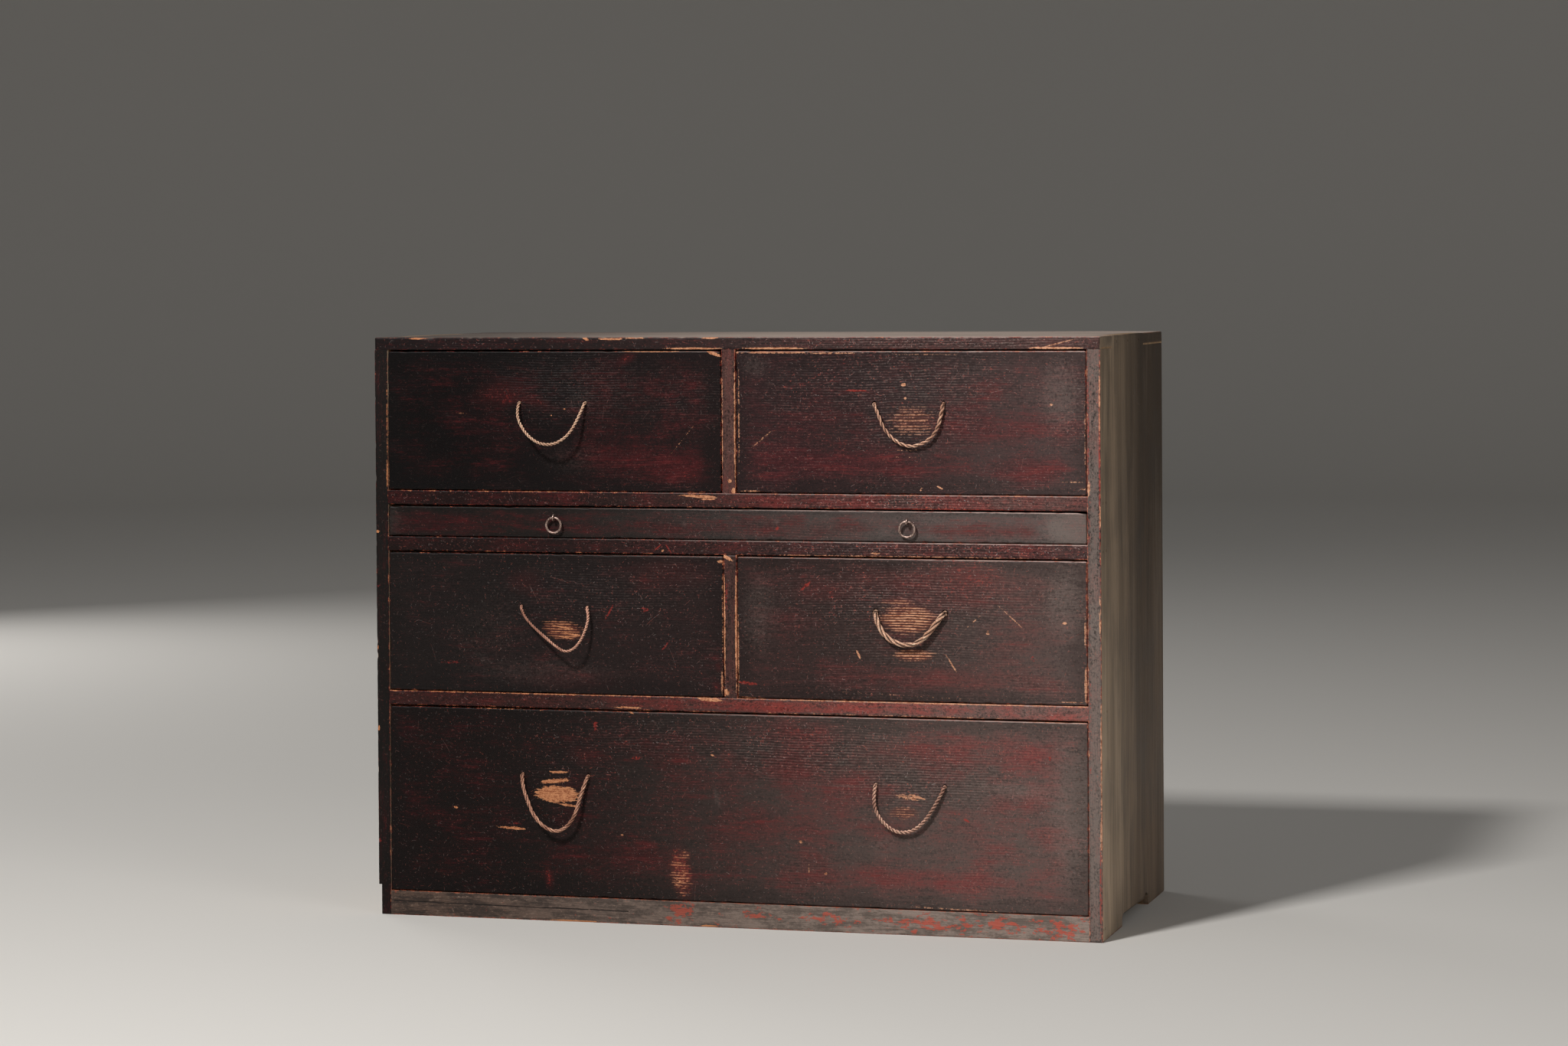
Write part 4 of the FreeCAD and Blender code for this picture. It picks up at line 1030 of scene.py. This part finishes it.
UPPER_RAIL_MARKS = {
    "ribbed": [(230, 515, 200, 8, 0.9)],
    "wine": [(100, 515, 150, 6, 0.4)],
    "red": [(235, 507, 206, 1.2, 0.7), (-305, 507, 129, 1.0, 0.5)],
    "bare": [(-37, 520, 26, 2.0, 0.95, -2), (-27, 517, 13, 1.4, 0.8)]}
MIDDLE_RAIL_MARKS = {
    "ribbed": [(230, 459, 200, 8, 1.0)],
    "red": [(-90, 458, 0.9, 6, 0.9, -50), (-77, 457, 0.9, 6, 0.9, 35)],
    "line": [(216, 450.7, 216, 0.9, 0.6)],
    "bare": [(-84, 454, 2.4, 1.4, 0.9, 40), (182, 454, 6, 1.4, 0.8)]}
LOWER_RAIL_MARKS = {
    "wine": [(60, 269, 260, 6, 0.7)],
    "line": [(-247, 277, 188, 0.9, 0.75), (215, 276.8, 216, 1.0, 0.85),
             (215, 261, 188, 0.8, 0.5)],
    "bare": [(-25, 275, 17, 2.4, 1.0, -3), (-129, 263, 21, 1.4, 0.8), (-217, 277, 8, 1.2, 0.9)]}
UPPER_DIVIDER_MARKS = {
    "bare": [(1, 539, 2.9, 2.4, 1, -20), (-8, 603, 1.3, 74, 0.6), (8, 603, 1.3, 83, 0.8),
             (6, 527, 3, 4, 0.8)]}
LOWER_DIVIDER_MARKS = {
    "red": [(-4, 400, 2, 20, 0.5)],
    "bare": [(-6.5, 358, 1.3, 78, 0.8), (8, 358, 1.7, 78, 0.9), (-2, 446, 8, 2.2, 0.9, -30),
             (-5, 284, 5, 4.5, 0.9)]}
# The rails' tones lighten to the right: partly grey bloom, partly painted sheen.
for node, tones, marks, rims, seed in (
        ("upper_rail", ((28, 15, 14), (94, 70, 66), (58, 18, 19), (136, 58, 54)),
         UPPER_RAIL_MARKS, (0.4, 0.3, 0.1, 0.1), 21),
        ("middle_rail", ((28, 17, 16), (76, 56, 54), (48, 20, 20), (110, 48, 45)),
         MIDDLE_RAIL_MARKS, (0.15, 0.35, 0.1, 0.1), 22),
        ("lower_rail", ((44, 25, 23), (112, 92, 86), (68, 28, 26), (178, 76, 68)),
         LOWER_RAIL_MARKS, (0.6, 0.4, 0.1, 0.1), 23)):
    low, _ = limits(node)
    lacquer = worn_lacquer(node + "_lacquer", node, tones, marks, rims, seed, wine=0.55,
                           dark_rim=3.0, nicked=(0.5, 1.2), grained=0.7, flecked=0.62)
    front_member(node, 2, lacquer, marks, seed, [low.z + place for place in RAIL_CUTS])
for node, plain, marks, seed in (("upper_divider", (82, 58, 53), UPPER_DIVIDER_MARKS, 24),
                                 ("lower_divider", (64, 46, 42), LOWER_DIVIDER_MARKS, 25)):
    low, high = limits(node)
    lacquer = worn_lacquer(node + "_lacquer", node, (plain, plain, (92, 44, 42), (92, 44, 42)),
                           marks, (0.0, 0.0, 0.4, 0.4), seed, upright=True, wine=0.45,
                           dark_rim=3.0, pitch=2.9, nicked=(0.6, 0.6), grained=0.8, flecked=0.63)
    front_member(node, 0, lacquer, marks, seed, [low.x + place for place in DIVIDER_CUTS]
                 + [high.x - place for place in reversed(DIVIDER_CUTS)])


# The base rail: the lowest member, of open-grained wood that was lacquered thinly over a coarse
# ground. Damp has lifted it, so the face is rough, mottled grey-brown, with flakes of brick red.
# A long drying crack runs along its left half.
BASE_CRACK = ((-436.0, 17.4), (-330.0, 16.2), (-180.0, 15.4), (-130.0, 15.0))
BASE_CUTS = (1.8, 5, 10, 15, 20, 25, 28.2)
BASE_MARKS = {
    "red": [(-61, 20, 19, 10, 1.6), (-70, 11, 18, 8, 1.1, 20), (29, 17, 24, 6, 0.9),
            (246, 14, 60, 9, 0.9), (335, 17, 26, 9, 1.0), (409, 13, 30, 9, 1.1),
            (119, 16, 57, 7, 0.8)],
    "bare": [(-200, 1, 40, 1.4, 0.8), (-28, 1.5, 12, 1.4, 0.9)]}


def base_rail_finish():
    finish = Finish("base_rail_flaked_lacquer", 0.2)
    mix, ramp, most, grain = finish.mix, finish.ramp, finish.most, finish.grain
    x, y, z = finish.parts(finish.place())
    sway = grain(x * 0.006, y * 0.02, z * 0.03)
    bowed = z + sway.off * 9.0
    fibre = grain(x * 0.035, y * 0.3, bowed * 0.75, 5.0, 0.7)
    mottle = grain(x * 0.02, y * 0.1, z * 0.07, 5.0, 0.7)
    flake = grain(x * 0.2, y * 0.3, z * 0.34, 5.0, 0.75)
    scab = grain(x * 0.075, y * 0.1, z * 0.15, 4.0, 0.7)
    # lighter towards the right: partly grey bloom, partly painted sheen
    share = ramp(x, -455.0, 455.0)
    tone = mix(share, (82, 64, 54), (148, 132, 122))
    shade = mix(share, (48, 38, 33), (104, 92, 84))
    colour = mix(ramp(mottle + fibre.off * 0.5 + flake.off * 0.5, 0.64, 0.36), tone, shade)
    colour = mix(ramp(flake + fibre.off * 0.5, 0.58, 0.7) * 0.5, colour, (142, 120, 106))
    red = ramp(finish.written("red") * 0.42 + scab.off * 2.6 + flake.off * 1.2
               + fibre.off * 0.6 + share * 0.22 - 0.06, 0.4, 0.54)
    colour = mix(red * 0.8, colour, mix(share, (128, 60, 46), (184, 80, 62)))
    cracks = []
    for (x0, z0), (x1, z1) in zip(BASE_CRACK, BASE_CRACK[1:]):
        along = (x - x0) / (x1 - x0)
        line = z - (along * (z1 - z0) + z0) + fibre.off * 2.2
        inside = ramp(along, 0.0, 0.02) * ramp(along, 1.0, 0.98)
        cracks.append(ramp(finish.maths("ABSOLUTE", line), 0.75, 0.25) * inside)
    crack = most(*cracks)
    colour = mix(crack * 0.85, colour, (18, 13, 12))
    low, high = limits("base_rail")
    rim = most(0.35 - (high.z - z) / 2.4, 0.6 - (z - low.z) / 2.4) + flake.off * 2.0
    colour = mix(ramp(rim, 0.2, 0.4) * 0.8, colour, (170, 88, 60))
    patches = marked(finish, finish.join(x, z, 0.0), BASE_MARKS, "bare")
    colour = mix(ramp(patches + flake.off * 1.2, 0.5, 0.62) * 0.9, colour, BARE_LIGHT)
    behind = ramp(y + flake.off * 4.0, FRONT_Y + 5.0, FRONT_Y + 9.0)
    colour = mix(behind, colour, mix(fibre, RAW_DARK, RAW_LIGHT))
    height = fibre * 0.7 + flake * 0.45 + mottle * 0.4 - crack * 1.0 + red * 0.1
    return finish.done(colour, 0.62 + flake.off * 0.3, height)


front_member("base_rail", 2, base_rail_finish(), BASE_MARKS, 26, BASE_CUTS)


# The sides and the top: wide boards joined by three large fingers at each end and pegged. Their
# thin dark wash has worn to a dry grey-olive brown, streaked along the grain; paler in front and
# darker to the rear, which is painted light falling from the front right.
# The sides end below in two feet each; their front edges carry the lacquer of the front.
CASE_EASE = 1.3
CASE_GRID = 8.0
CASE_RIM_CUTS = (2.2, 4.0)
HALF_WIDTH = 454.5
REAR_Y = 202.0
HEIGHT = 712.2
TOP_THICKNESS = 15.0
SHORTEST_ARRIS = 3.2
BITE_REACH = 3.2


def case_board_finish(node, side, tones, marks, rims, seed):
    """Washed wood for a side (-1 left, 1 right) or the top (0); the front edge is lacquered.
    The last of the rims is for the front arris of the wide face."""
    low, high = limits(node)
    finish = Finish(node + "_wash", 0.15)
    mix, ramp, most, grain = finish.mix, finish.ramp, finish.most, finish.grain
    place = finish.place()
    x, y, z = finish.parts(place)
    drift = seed * 11.9
    along, across, deep = (z, y, x) if side else (x, y, z)
    warp = grain(along * 0.0035 + drift, across * 0.012, 0.0)
    bowed = across + warp.off * 34.0
    wide = grain(along * 0.0022 + drift, bowed * 0.028, deep * 0.02, 3.0, 0.6)
    fibre = grain(along * 0.008 + drift, bowed * 0.24, deep * 0.1, 5.0, 0.65)
    fine = grain(along * 0.04 + drift, bowed * 1.4, deep * 0.3, 3.0, 0.65)
    cloudy = finish.cloud(finish.vector("ADD", {0: place, 1: (drift, 0, 0)}), 0.011, 4.0, 0.6)
    spots = finish.cloud(place, 0.12, 4.0, 0.75)

    # the wash: paler low down; paler in front and darker behind as painted light from the front
    # right; on the top paler to the right
    back_share = ramp(y, -200.0, 80.0)
    wash_and_painted_light = mix(ramp(z, 0.0, 600.0, 0.75, 0.0), mix(back_share, (162, 140, 116), (74, 60, 47)),
                 mix(back_share, (200, 176, 150), (140, 118, 98)))
    if not side:
        ends = HALF_WIDTH - finish.maths("ABSOLUTE", x)
        upper = mix(ramp(x, PLACE_LEFT, 100.0, 1.0, 0.0), (174, 156, 144), (84, 74, 68))
        wash_and_painted_light = mix(ramp(ends, 1.6, 0.6), upper, wash_and_painted_light)
    colour = mix(ramp(wide + fibre.off * 0.4, 0.62, 0.36) * 0.34, wash_and_painted_light, (52, 45, 38))
    colour = mix(ramp(cloudy + fibre.off * 0.9, 0.58, 0.34) * (0.3 if side else 0.07), colour,
                 (44, 38, 34))
    colour = mix(ramp(wide + fine.off * 0.4, 0.54, 0.74) * 0.18, colour, (172, 156, 138))
    colour = mix(ramp(fine + fibre.off * 0.8, 0.44, 0.28) * 0.15, colour, (50, 42, 37))
    colour = mix(ramp(spots, 0.66, 0.74) * 0.3, colour, (160, 146, 130))
    plane = finish.join(y, z, 0.0) if side else finish.join(x, y, 0.0)
    nicks = most(scratches(finish, plane, 16.0, 8.0, 0.4, 0.35, drift + 2.2),
                 scratches(finish, plane, 60.0, 40.0, 0.5, 0.35, drift + 5.1))
    colour = mix(nicks * 0.4, colour, (164, 150, 136))

    # arrises worn to bare wood, and faces that were never washed
    if side:
        outer, inner = (high.x - x, x - low.x) if side > 0 else (x - low.x, high.x - x)
        worn = most(rims[4] - most(outer, y - low.y) / 3.0, 0.5 - (z - low.z) / 3.5,
                    0.2 - most(outer, high.z - z) / 3.0)
        hidden = ramp(inner, 12.0, 4.0)
    else:
        worn = most(rims[4] - most(y - low.y, high.z - z) / 2.6,
                    0.35 - most(ends, high.z - z) / 3.0)
        hidden = ramp(z, low.z + 3.0, low.z + 1.0)
    worn = worn + spots.off * 2.6
    colour = mix(ramp(worn, 0.0, 0.3) * 0.6, colour, (110, 54, 42))
    worn = ramp(worn, 0.3, 0.55)
    colour = mix(worn * 0.9, colour, (196, 138, 102))

    # the lacquered front edge
    edge_low = low.copy()
    if not side:
        edge_low.z = HEIGHT - TOP_THICKNESS
    front, _, _, height, _ = lacquered(
        finish, edge_low, high, tones, marks, rims[:4], seed, bool(side), dark_rim=3.0,
        lined=(0.05, 0.8), nicked=(0.24, 0.24) if side < 0 else (0.5, 1.0),
        grained=0.85 if side > 0 else 0.7, flecked=0.64)
    colour = mix(ramp(y, FRONT_Y + 1.3, FRONT_Y + 0.5), colour, front)
    raw = mix(ramp(fibre + fine.off * 0.6, 0.36, 0.64), RAW_DARK, RAW_LIGHT)
    colour = mix(hidden * ramp(y, FRONT_Y + 4.0, FRONT_Y + 9.0), colour, raw)
    height = height + fibre * 0.25 + fine * 0.15 + spots * 0.1
    return finish.done(colour, 0.5 + worn * 0.2 + cloudy.off * (0.3 if side else 0.08), height)


def outer_arrises(edge):
    """Picks the outer arrises of the sides and the top, but not the rims of peg holes."""
    a, b = (vert.co / MM for vert in edge.verts)
    if (a - b).length < SHORTEST_ARRIS:
        return False
    planes = ((0, -HALF_WIDTH), (0, HALF_WIDTH), (1, FRONT_Y), (1, REAR_Y), (2, HEIGHT), (2, 0.0))
    return sum(abs(a[axis] - at) < 0.02 and abs(b[axis] - at) < 0.02 for axis, at in planes) >= 2


def case_wear(seed):
    """Wear of the outer arrises, and a slight wave over the wide faces."""
    def wear(place):
        outer, front, rear = HALF_WIDTH - abs(place.x), place.y - FRONT_Y, REAR_Y - place.y
        above = HEIGHT - place.z
        near = sorted((outer, front, rear, above, place.z))[1]
        bite = chip(place, seed) * max(0.0, 1 - near / BITE_REACH) ** 1.3
        inward = Vector((-math.copysign(1, place.x) * (outer < BITE_REACH),
                         (front < BITE_REACH) - 1.0 * (rear < BITE_REACH),
                         (place.z < BITE_REACH) - 1.0 * (above < BITE_REACH)))
        moved = place + inward * bite * 0.9
        if outer < 0.05:
            moved.x -= math.copysign(0.12 + 0.12 * noise.noise(place / 90.0), place.x)
        if above < 0.05:
            moved.z -= 0.12 + 0.12 * noise.noise(place / 110.0)
        return moved
    return wear


def outer_face(axis, at):
    """Picks the faces that lie in a plane square to an axis."""
    return lambda face: all(abs(vert.co[axis] / MM - at) < 0.02 for vert in face.verts)


def case_board(node, side, tones, marks, rims, seed, edge_cuts):
    """A side or the top: a grid over its wide face, and a closer one over its front edge."""
    face = outer_face(0, side * HALF_WIDTH) if side else outer_face(2, HEIGHT)
    ends = {0: (-HALF_WIDTH, HALF_WIDTH), 1: (FRONT_Y, REAR_Y), 2: (0, HEIGHT)}
    first, second, along, across = (1, 2, 2, 0) if side else (0, 1, 0, 2)
    cuts = [(face, first, grid_places(*ends[first], CASE_GRID, CASE_RIM_CUTS)),
            (face, second, grid_places(*ends[second], CASE_GRID, CASE_RIM_CUTS)),
            (within(CASE_EASE + 0.05), along, grid_places(*ends[along], RAIL_GRID)),
            (within(CASE_EASE + 0.05), across, edge_cuts)]
    shaped_board(node, "weathered_" + node, "case", "case_board_lacquer",
                 case_board_finish(node, side, tones, marks, rims, seed), cuts, case_wear(seed),
                 marks, outer_arrises, CASE_EASE)


LEFT_SIDE_MARKS = {
    "red": [(-452, 406, 4, 1.9, 0.5), (-452, 91, 2, 3.8, 0.7)],
    "line": [(-439.2, 544, 1.2, 20, 0.9), (-439, 610, 0.8, 60, 0.6)],
    "bare": [(-452, 473, 2.5, 1.9, 0.9), (-453, 230, 2, 3.8, 0.9), (-453, 330, 1.2, 3, 0.8)]}
RIGHT_SIDE_MARKS = {
    "red": [(453, 569, 1.2, 135, 0.7), (440, 605, 1.2, 81, 0.55), (441, 500, 2.0, 60, 0.36),
            (441, 250, 1.6, 90, 0.4), (452, 60, 1.4, 60, 0.6), (441, 360, 1.2, 40, 0.4)],
    "grey": [(447, 200, 12, 240, 1.5), (447, 560, 9, 120, 0.2)],
    "line": [(453.4, 632, 1.0, 54, 0.8), (453.6, 209, 1.1, 81, 0.9), (453.2, 128, 1.6, 26, 0.9)],
    "bare": [(440, 533, 1.9, 11, 0.8), (453, 380, 1.4, 30, 0.6), (453.4, 500, 1.2, 20, 0.6)]}
TOP_MARKS = {
    "ribbed": [(240, 705, 200, 8, 0.8)],
    "line": [(404, 704, 26, 0.9, 0.8, 14)],
    "bare": [(-44, 698.4, 37, 1.3, 1.0), (57, 698.4, 44, 1.3, 1.0), (401, 698.6, 37, 1.4, 0.95),
             (-398, 711, 14, 1.3, 0.8), (-180, 710, 4.9, 1.7, 1, -20), (-148, 710, 17, 1.4, 0.9),
             (-118, 711, 14, 1.3, 0.8), (-24, 711, 12, 1.3, 0.9)]}
# The lacquered front edges are darkest on the left side and lighten to the right one and along the
# top: partly grey bloom, partly painted sheen.
case_board("left_side_board", -1, ((17, 13, 11), (17, 13, 11), (30, 15, 14), (30, 15, 14)),
           LEFT_SIDE_MARKS, (0.0, 0.2, 0.1, 0.25, 0.5), 31, (-452.0, -449.0, -444.0, -440.6))
case_board("right_side_board", 1, ((108, 96, 90), (108, 96, 90), (122, 86, 79), (122, 86, 79)),
           RIGHT_SIDE_MARKS, (0.0, 0.3, 0.4, 0.45, 0.6), 32, (440.6, 444.0, 449.0, 452.0))
case_board("top_board", 0, ((18, 8, 8), (80, 58, 55), (38, 13, 13), (98, 54, 51)),
           TOP_MARKS, (0.3, 0.1, 0.0, 0.0, 0.5), 33, (698.0, 700.0, 704.0, 708.0, 710.0))


# The wood inside: drawer sides, backs and bottoms, the boards that they run on, and the planks
# of the back. It is plain planed softwood, never lacquered, browned by age and rubbed by use.
# The boards keep their joints; their edges are only just broken by the plane.
RAW_EASE = 0.35
PLANK_START = 18.0
PLANK_PITCH = 135.84
KNOT_BROWN = (74, 46, 30)


def dim(colour, share):
    return tuple(value * share for value in colour)


def raw_finish(name, along_axis, across_axis, dark, light, seed, sawn=0.0, plank=0.0):
    """Bare softwood: straight grain that wanders a little, a few small knots, stains of age. A
    plank width parts the wood into planks that differ in tone and are dark along their joints."""
    finish = Finish(name, 0.3)
    mix, ramp, grain = finish.mix, finish.ramp, finish.grain
    place = finish.place()
    axes = finish.parts(place)
    along, across = axes[along_axis], axes[across_axis]
    third = axes[3 - along_axis - across_axis]
    drift = seed * 23.7
    if plank:
        row = (across - PLANK_START) / plank
        number = finish.maths("FLOOR", row)
        drift = number * 13.7 + drift
    warp = grain(along * 0.0016 + drift, across * 0.006, third * 0.01)
    bowed = across + warp.off * 56.0 + third * 0.6
    broad = grain(along * 0.0012 + drift, bowed * 0.06, third * 0.06, 3.0, 0.6)
    fibre = grain(along * 0.005 + drift, bowed * 0.36, third * 0.3, 5.0, 0.65)
    fine = grain(along * 0.05 + drift, bowed * 1.8, third, 3.0, 0.65)
    stain = finish.cloud(place, 0.012, 4.0, 0.6)
    spread = finish.node("TexVoronoi", inputs={
        "Vector": finish.join(along * 0.006 + drift, across * 0.011, 0.0), "Scale": 1.0})
    knot = ramp(spread + fine.off * 0.02, 0.055, 0.03)
    colour = mix(ramp(broad * 0.5 + fibre * 0.6, 0.38, 0.7), dark, light)
    colour = mix(ramp(fine + fibre.off * 0.7, 0.44, 0.3) * 0.4, colour, dim(dark, 0.56))
    colour = mix(ramp(stain, 0.5, 0.72) * 0.34, colour, dim(dark, 0.66))
    colour = mix(knot * 0.8, colour, KNOT_BROWN)
    if plank:
        tone = finish.maths("SINE", number * 2.3 + 0.6) * 0.5 + 0.5
        colour = mix(tone * 0.3, colour, dim(dark, 0.6))
        share = finish.maths("FRACT", row)
        joint = finish.maths("MINIMUM", share, 1.0 - share) * plank
        colour = mix(ramp(joint + fine.off * 5.0, 5.0, 0.4) * 0.7, colour, (30, 23, 18))
    height = broad * 0.1 + fibre * 0.2 + fine * (0.2 + sawn) - knot * 0.1
    return finish.done(colour, 0.72 + fibre.off * 0.2, height)


def square_edge(edge):
    """Picks the long outer edges where faces meet at about a right angle."""
    return edge.calc_length() > SHORTEST_ARRIS * MM and edge.is_manifold \
        and edge.calc_face_angle(0.0) > 1.0 and edge.is_convex


def planed(node, body, material):
    shaped_board(node, "planed_" + node, body, "bare_wood", material, eased=square_edge,
                 width=RAW_EASE, segments=1, sharp=30)


for number, drawer in enumerate(row[0] for row in FRONTS):
    lengthwise = raw_finish(drawer + "_side_wood", 1, 2, (128, 96, 68), (178, 146, 110), number)
    crosswise = raw_finish(drawer + "_back_wood", 0, 2, (122, 92, 66), (170, 138, 104), number + 9)
    bottom = raw_finish(drawer + "_bottom_wood", 0, 1, (116, 88, 64), (166, 136, 104), number + 17)
    for part, wood in (("left_side", lengthwise), ("right_side", lengthwise),
                       ("back", crosswise), ("bottom", bottom)):
        planed(drawer + "_" + part, drawer, wood)
for number, node in enumerate(("bottom_board", "lower_dust_board", "middle_dust_board",
                               "upper_dust_board")):
    planed(node, "case", raw_finish(node + "_wood", 0, 1, (104, 80, 60), (150, 122, 94),
                                    number + 31))
planed("back_planks", "case", raw_finish("back_plank_wood", 0, 2, (104, 84, 66), (152, 128, 102),
                                         41, 0.25, PLANK_PITCH))


# The pegs: small square pins of hard wood driven through the joints of the case and cut
# off just below the faces; their end grain has gone dark with dirt. At the left front foot they
# follow the corner that wear has taken.
SIDE_SINK = 1.0
REAR_SINK = 0.15
TOP_SINK = 0.35
FOOT_CORNER_WIDE = 4.3
FOOT_CORNER_LONG = 60.0
FOOT_CORNER_HIGH = 37.0


def peg_finish():
    finish = Finish("peg_end_grain", 0.2)
    place = finish.place()
    pores = finish.cloud(place, 2.4, 3.0, 0.7)
    dirt = finish.cloud(place, 0.05)
    colour = finish.mix(finish.ramp(pores, 0.35, 0.65), (92, 70, 50), (150, 122, 92))
    colour = finish.mix(finish.ramp(dirt, 0.4, 0.6) * 0.5, colour, (60, 46, 36))
    return finish.done(colour, 0.75, pores * 0.1)


def sunk(place):
    """A peg's cut end, just below the worn face round it, also at the left foot's lost corner."""
    half = HALF_WIDTH - SIDE_SINK
    if place.x < 0 and place.z < FOOT_CORNER_HIGH and place.y < FRONT_Y + FOOT_CORNER_LONG:
        half -= FOOT_CORNER_WIDE * (1 - (place.y - FRONT_Y) / FOOT_CORNER_LONG)
    return Vector((math.copysign(min(abs(place.x), half), place.x),
                   min(place.y, REAR_Y - REAR_SINK), min(place.z, HEIGHT - TOP_SINK)))


shaped_board("case_pegs", "weathered_case_pegs", "case", "peg_wood", peg_finish(), wear=sunk)


# The ring pulls: two rings of hand-bent iron wire on the shallow drawer, each in the eye of a
# split pin whose legs pass through the front and are bent flat behind it. A pin's outline is
# given for one leg, as height, depth behind the face and radius of the wire.
RING_RADIUS = 9.3
RING_WIRE = 2.8
RING_SIDES = 14
RING_TURN = 358.2
RING_STEPS = 72
BUTT_EASE = 0.25
RINGS = (("left_ring", -221.4, 1.9, 3, 0.35), ("right_ring", 221.4, -2.55, 8, 0.6))
RING_LEVEL = 492.817
RING_STAND_OFF = 5.0
EYE_REACH = 8.7
EYE_STEP = 0.35
EYE_BLEND = 3
EYE_HALF = (
    (12.0, 17.4, 0.4), (8.0, 18.85, 0.72), (3.2, 18.85, 0.75), (0.78, 18.3, 0.72),
    (0.76, 14.0, 0.72), (0.76, 0.6, 0.74), (1.5, -1.6, 0.85), (3.5, -4.4, 0.98),
    (3.1, -7.2, 1.0), (1.0, -8.7, 1.0))
EYE_OUTLINE = EYE_HALF + tuple((-up, out, radius) for up, out, radius in reversed(EYE_HALF))


def iron_finish():
    """Forged iron gone grey-brown, rubbed bright in places, dull and rusty in the pits."""
    finish = Finish("old_iron", 0.4, 0.75)
    place = finish.place()
    scale = finish.cloud(place, 0.3, 3.0, 0.6)
    pits = finish.cloud(place, 2.2, 3.0, 0.7)
    deep = finish.ramp(pits, 0.5, 0.7)
    colour = finish.mix(finish.ramp(scale, 0.38, 0.62), (124, 100, 90), (190, 164, 152))
    colour = finish.mix(finish.ramp(pits, 0.56, 0.7) * 0.5, colour, (84, 54, 42))
    return finish.done(colour, 0.34 + scale.off * 0.3 + deep * 0.25, scale * 0.06 - deep * 0.03)


def ring_mesh(x, butt_angle, seed):
    """A bent wire ring with a butt joint, spun from a round section and hammered uneven."""
    work = bmesh.new()
    section = bmesh.ops.create_circle(work, radius=RING_WIRE / 2, segments=RING_SIDES)["verts"]
    centre = Vector((x, FRONT_Y - RING_STAND_OFF, RING_LEVEL - RING_RADIUS))
    start = Vector((math.cos(butt_angle), 0, math.sin(butt_angle)))
    for vert in section:
        vert.co = start * (RING_RADIUS + vert.co.x) + Vector((0, vert.co.y, 0))
    edges = list(dict.fromkeys(edge for vert in section for edge in vert.link_edges))
    bmesh.ops.contextual_create(work, geom=edges)
    spun = bmesh.ops.spin(work, geom=list(section) + edges, cent=(0, 0, 0), axis=(0, -1, 0),
                          angle=math.radians(RING_TURN), steps=RING_STEPS)
    last = [item for item in spun["geom_last"] if isinstance(item, bmesh.types.BMEdge)]
    bmesh.ops.contextual_create(work, geom=last)
    ease(work, edges + last, BUTT_EASE, 2)
    for vert in work.verts:
        bump = noise.noise(vert.co / 4.1 + Vector((seed, 0, 0))) * 0.06
        wide = noise.noise(vert.co / 9.0 + Vector((seed, 5, 0))) * 0.18
        core = Vector((vert.co.x, 0, vert.co.z)).normalized() * RING_RADIUS
        vert.co = core * (1 + wide * 0.03) + (vert.co - core) * (1 + bump)
        vert.co = (vert.co + centre) * MM
    bmesh.ops.recalc_face_normals(work, faces=work.faces)
    return settled(work, "bent_ring", 60)


def eye_line(x, lean):
    """The pin's smooth line, and the radius of its wire at each point, in metres. The eye leans
    a little to one side."""
    route = [(x + lean * max(0.0, -out) / EYE_REACH * (1 if up > 0 else -0.3), FRONT_Y + out,
              RING_LEVEL + up) for up, out, _ in EYE_OUTLINE]
    points, radii = [], []
    for place in even_steps(route_line(route), EYE_STEP):
        gaps = [(FRONT_Y + out - place.y) ** 2 + (RING_LEVEL + up - place.z) ** 2
                for up, out, _ in EYE_OUTLINE]
        points.append(place * MM)
        radii.append(EYE_OUTLINE[gaps.index(min(gaps))][2] * MM)
    windows = [radii[max(0, i - EYE_BLEND):i + EYE_BLEND + 1] for i in range(len(radii))]
    return points, [sum(window) / len(window) for window in windows]


iron = iron_finish()
gathered = bmesh.new()
for node, x, butt_angle, seed, lean in RINGS:
    ring = keep("bent_" + node, ring_mesh(x, butt_angle, seed), iron)
    seat(ring, node, "forged_iron", node)
    wire = tube_mesh(*eye_line(x, lean), 10)
    gathered.from_mesh(wire)
    bpy.data.meshes.remove(wire)
pins = keep("bent_split_pins", settled(gathered, "bent_split_pins"), iron)
seat(pins, "shallow_drawer", "forged_iron", "ring_split_pins")
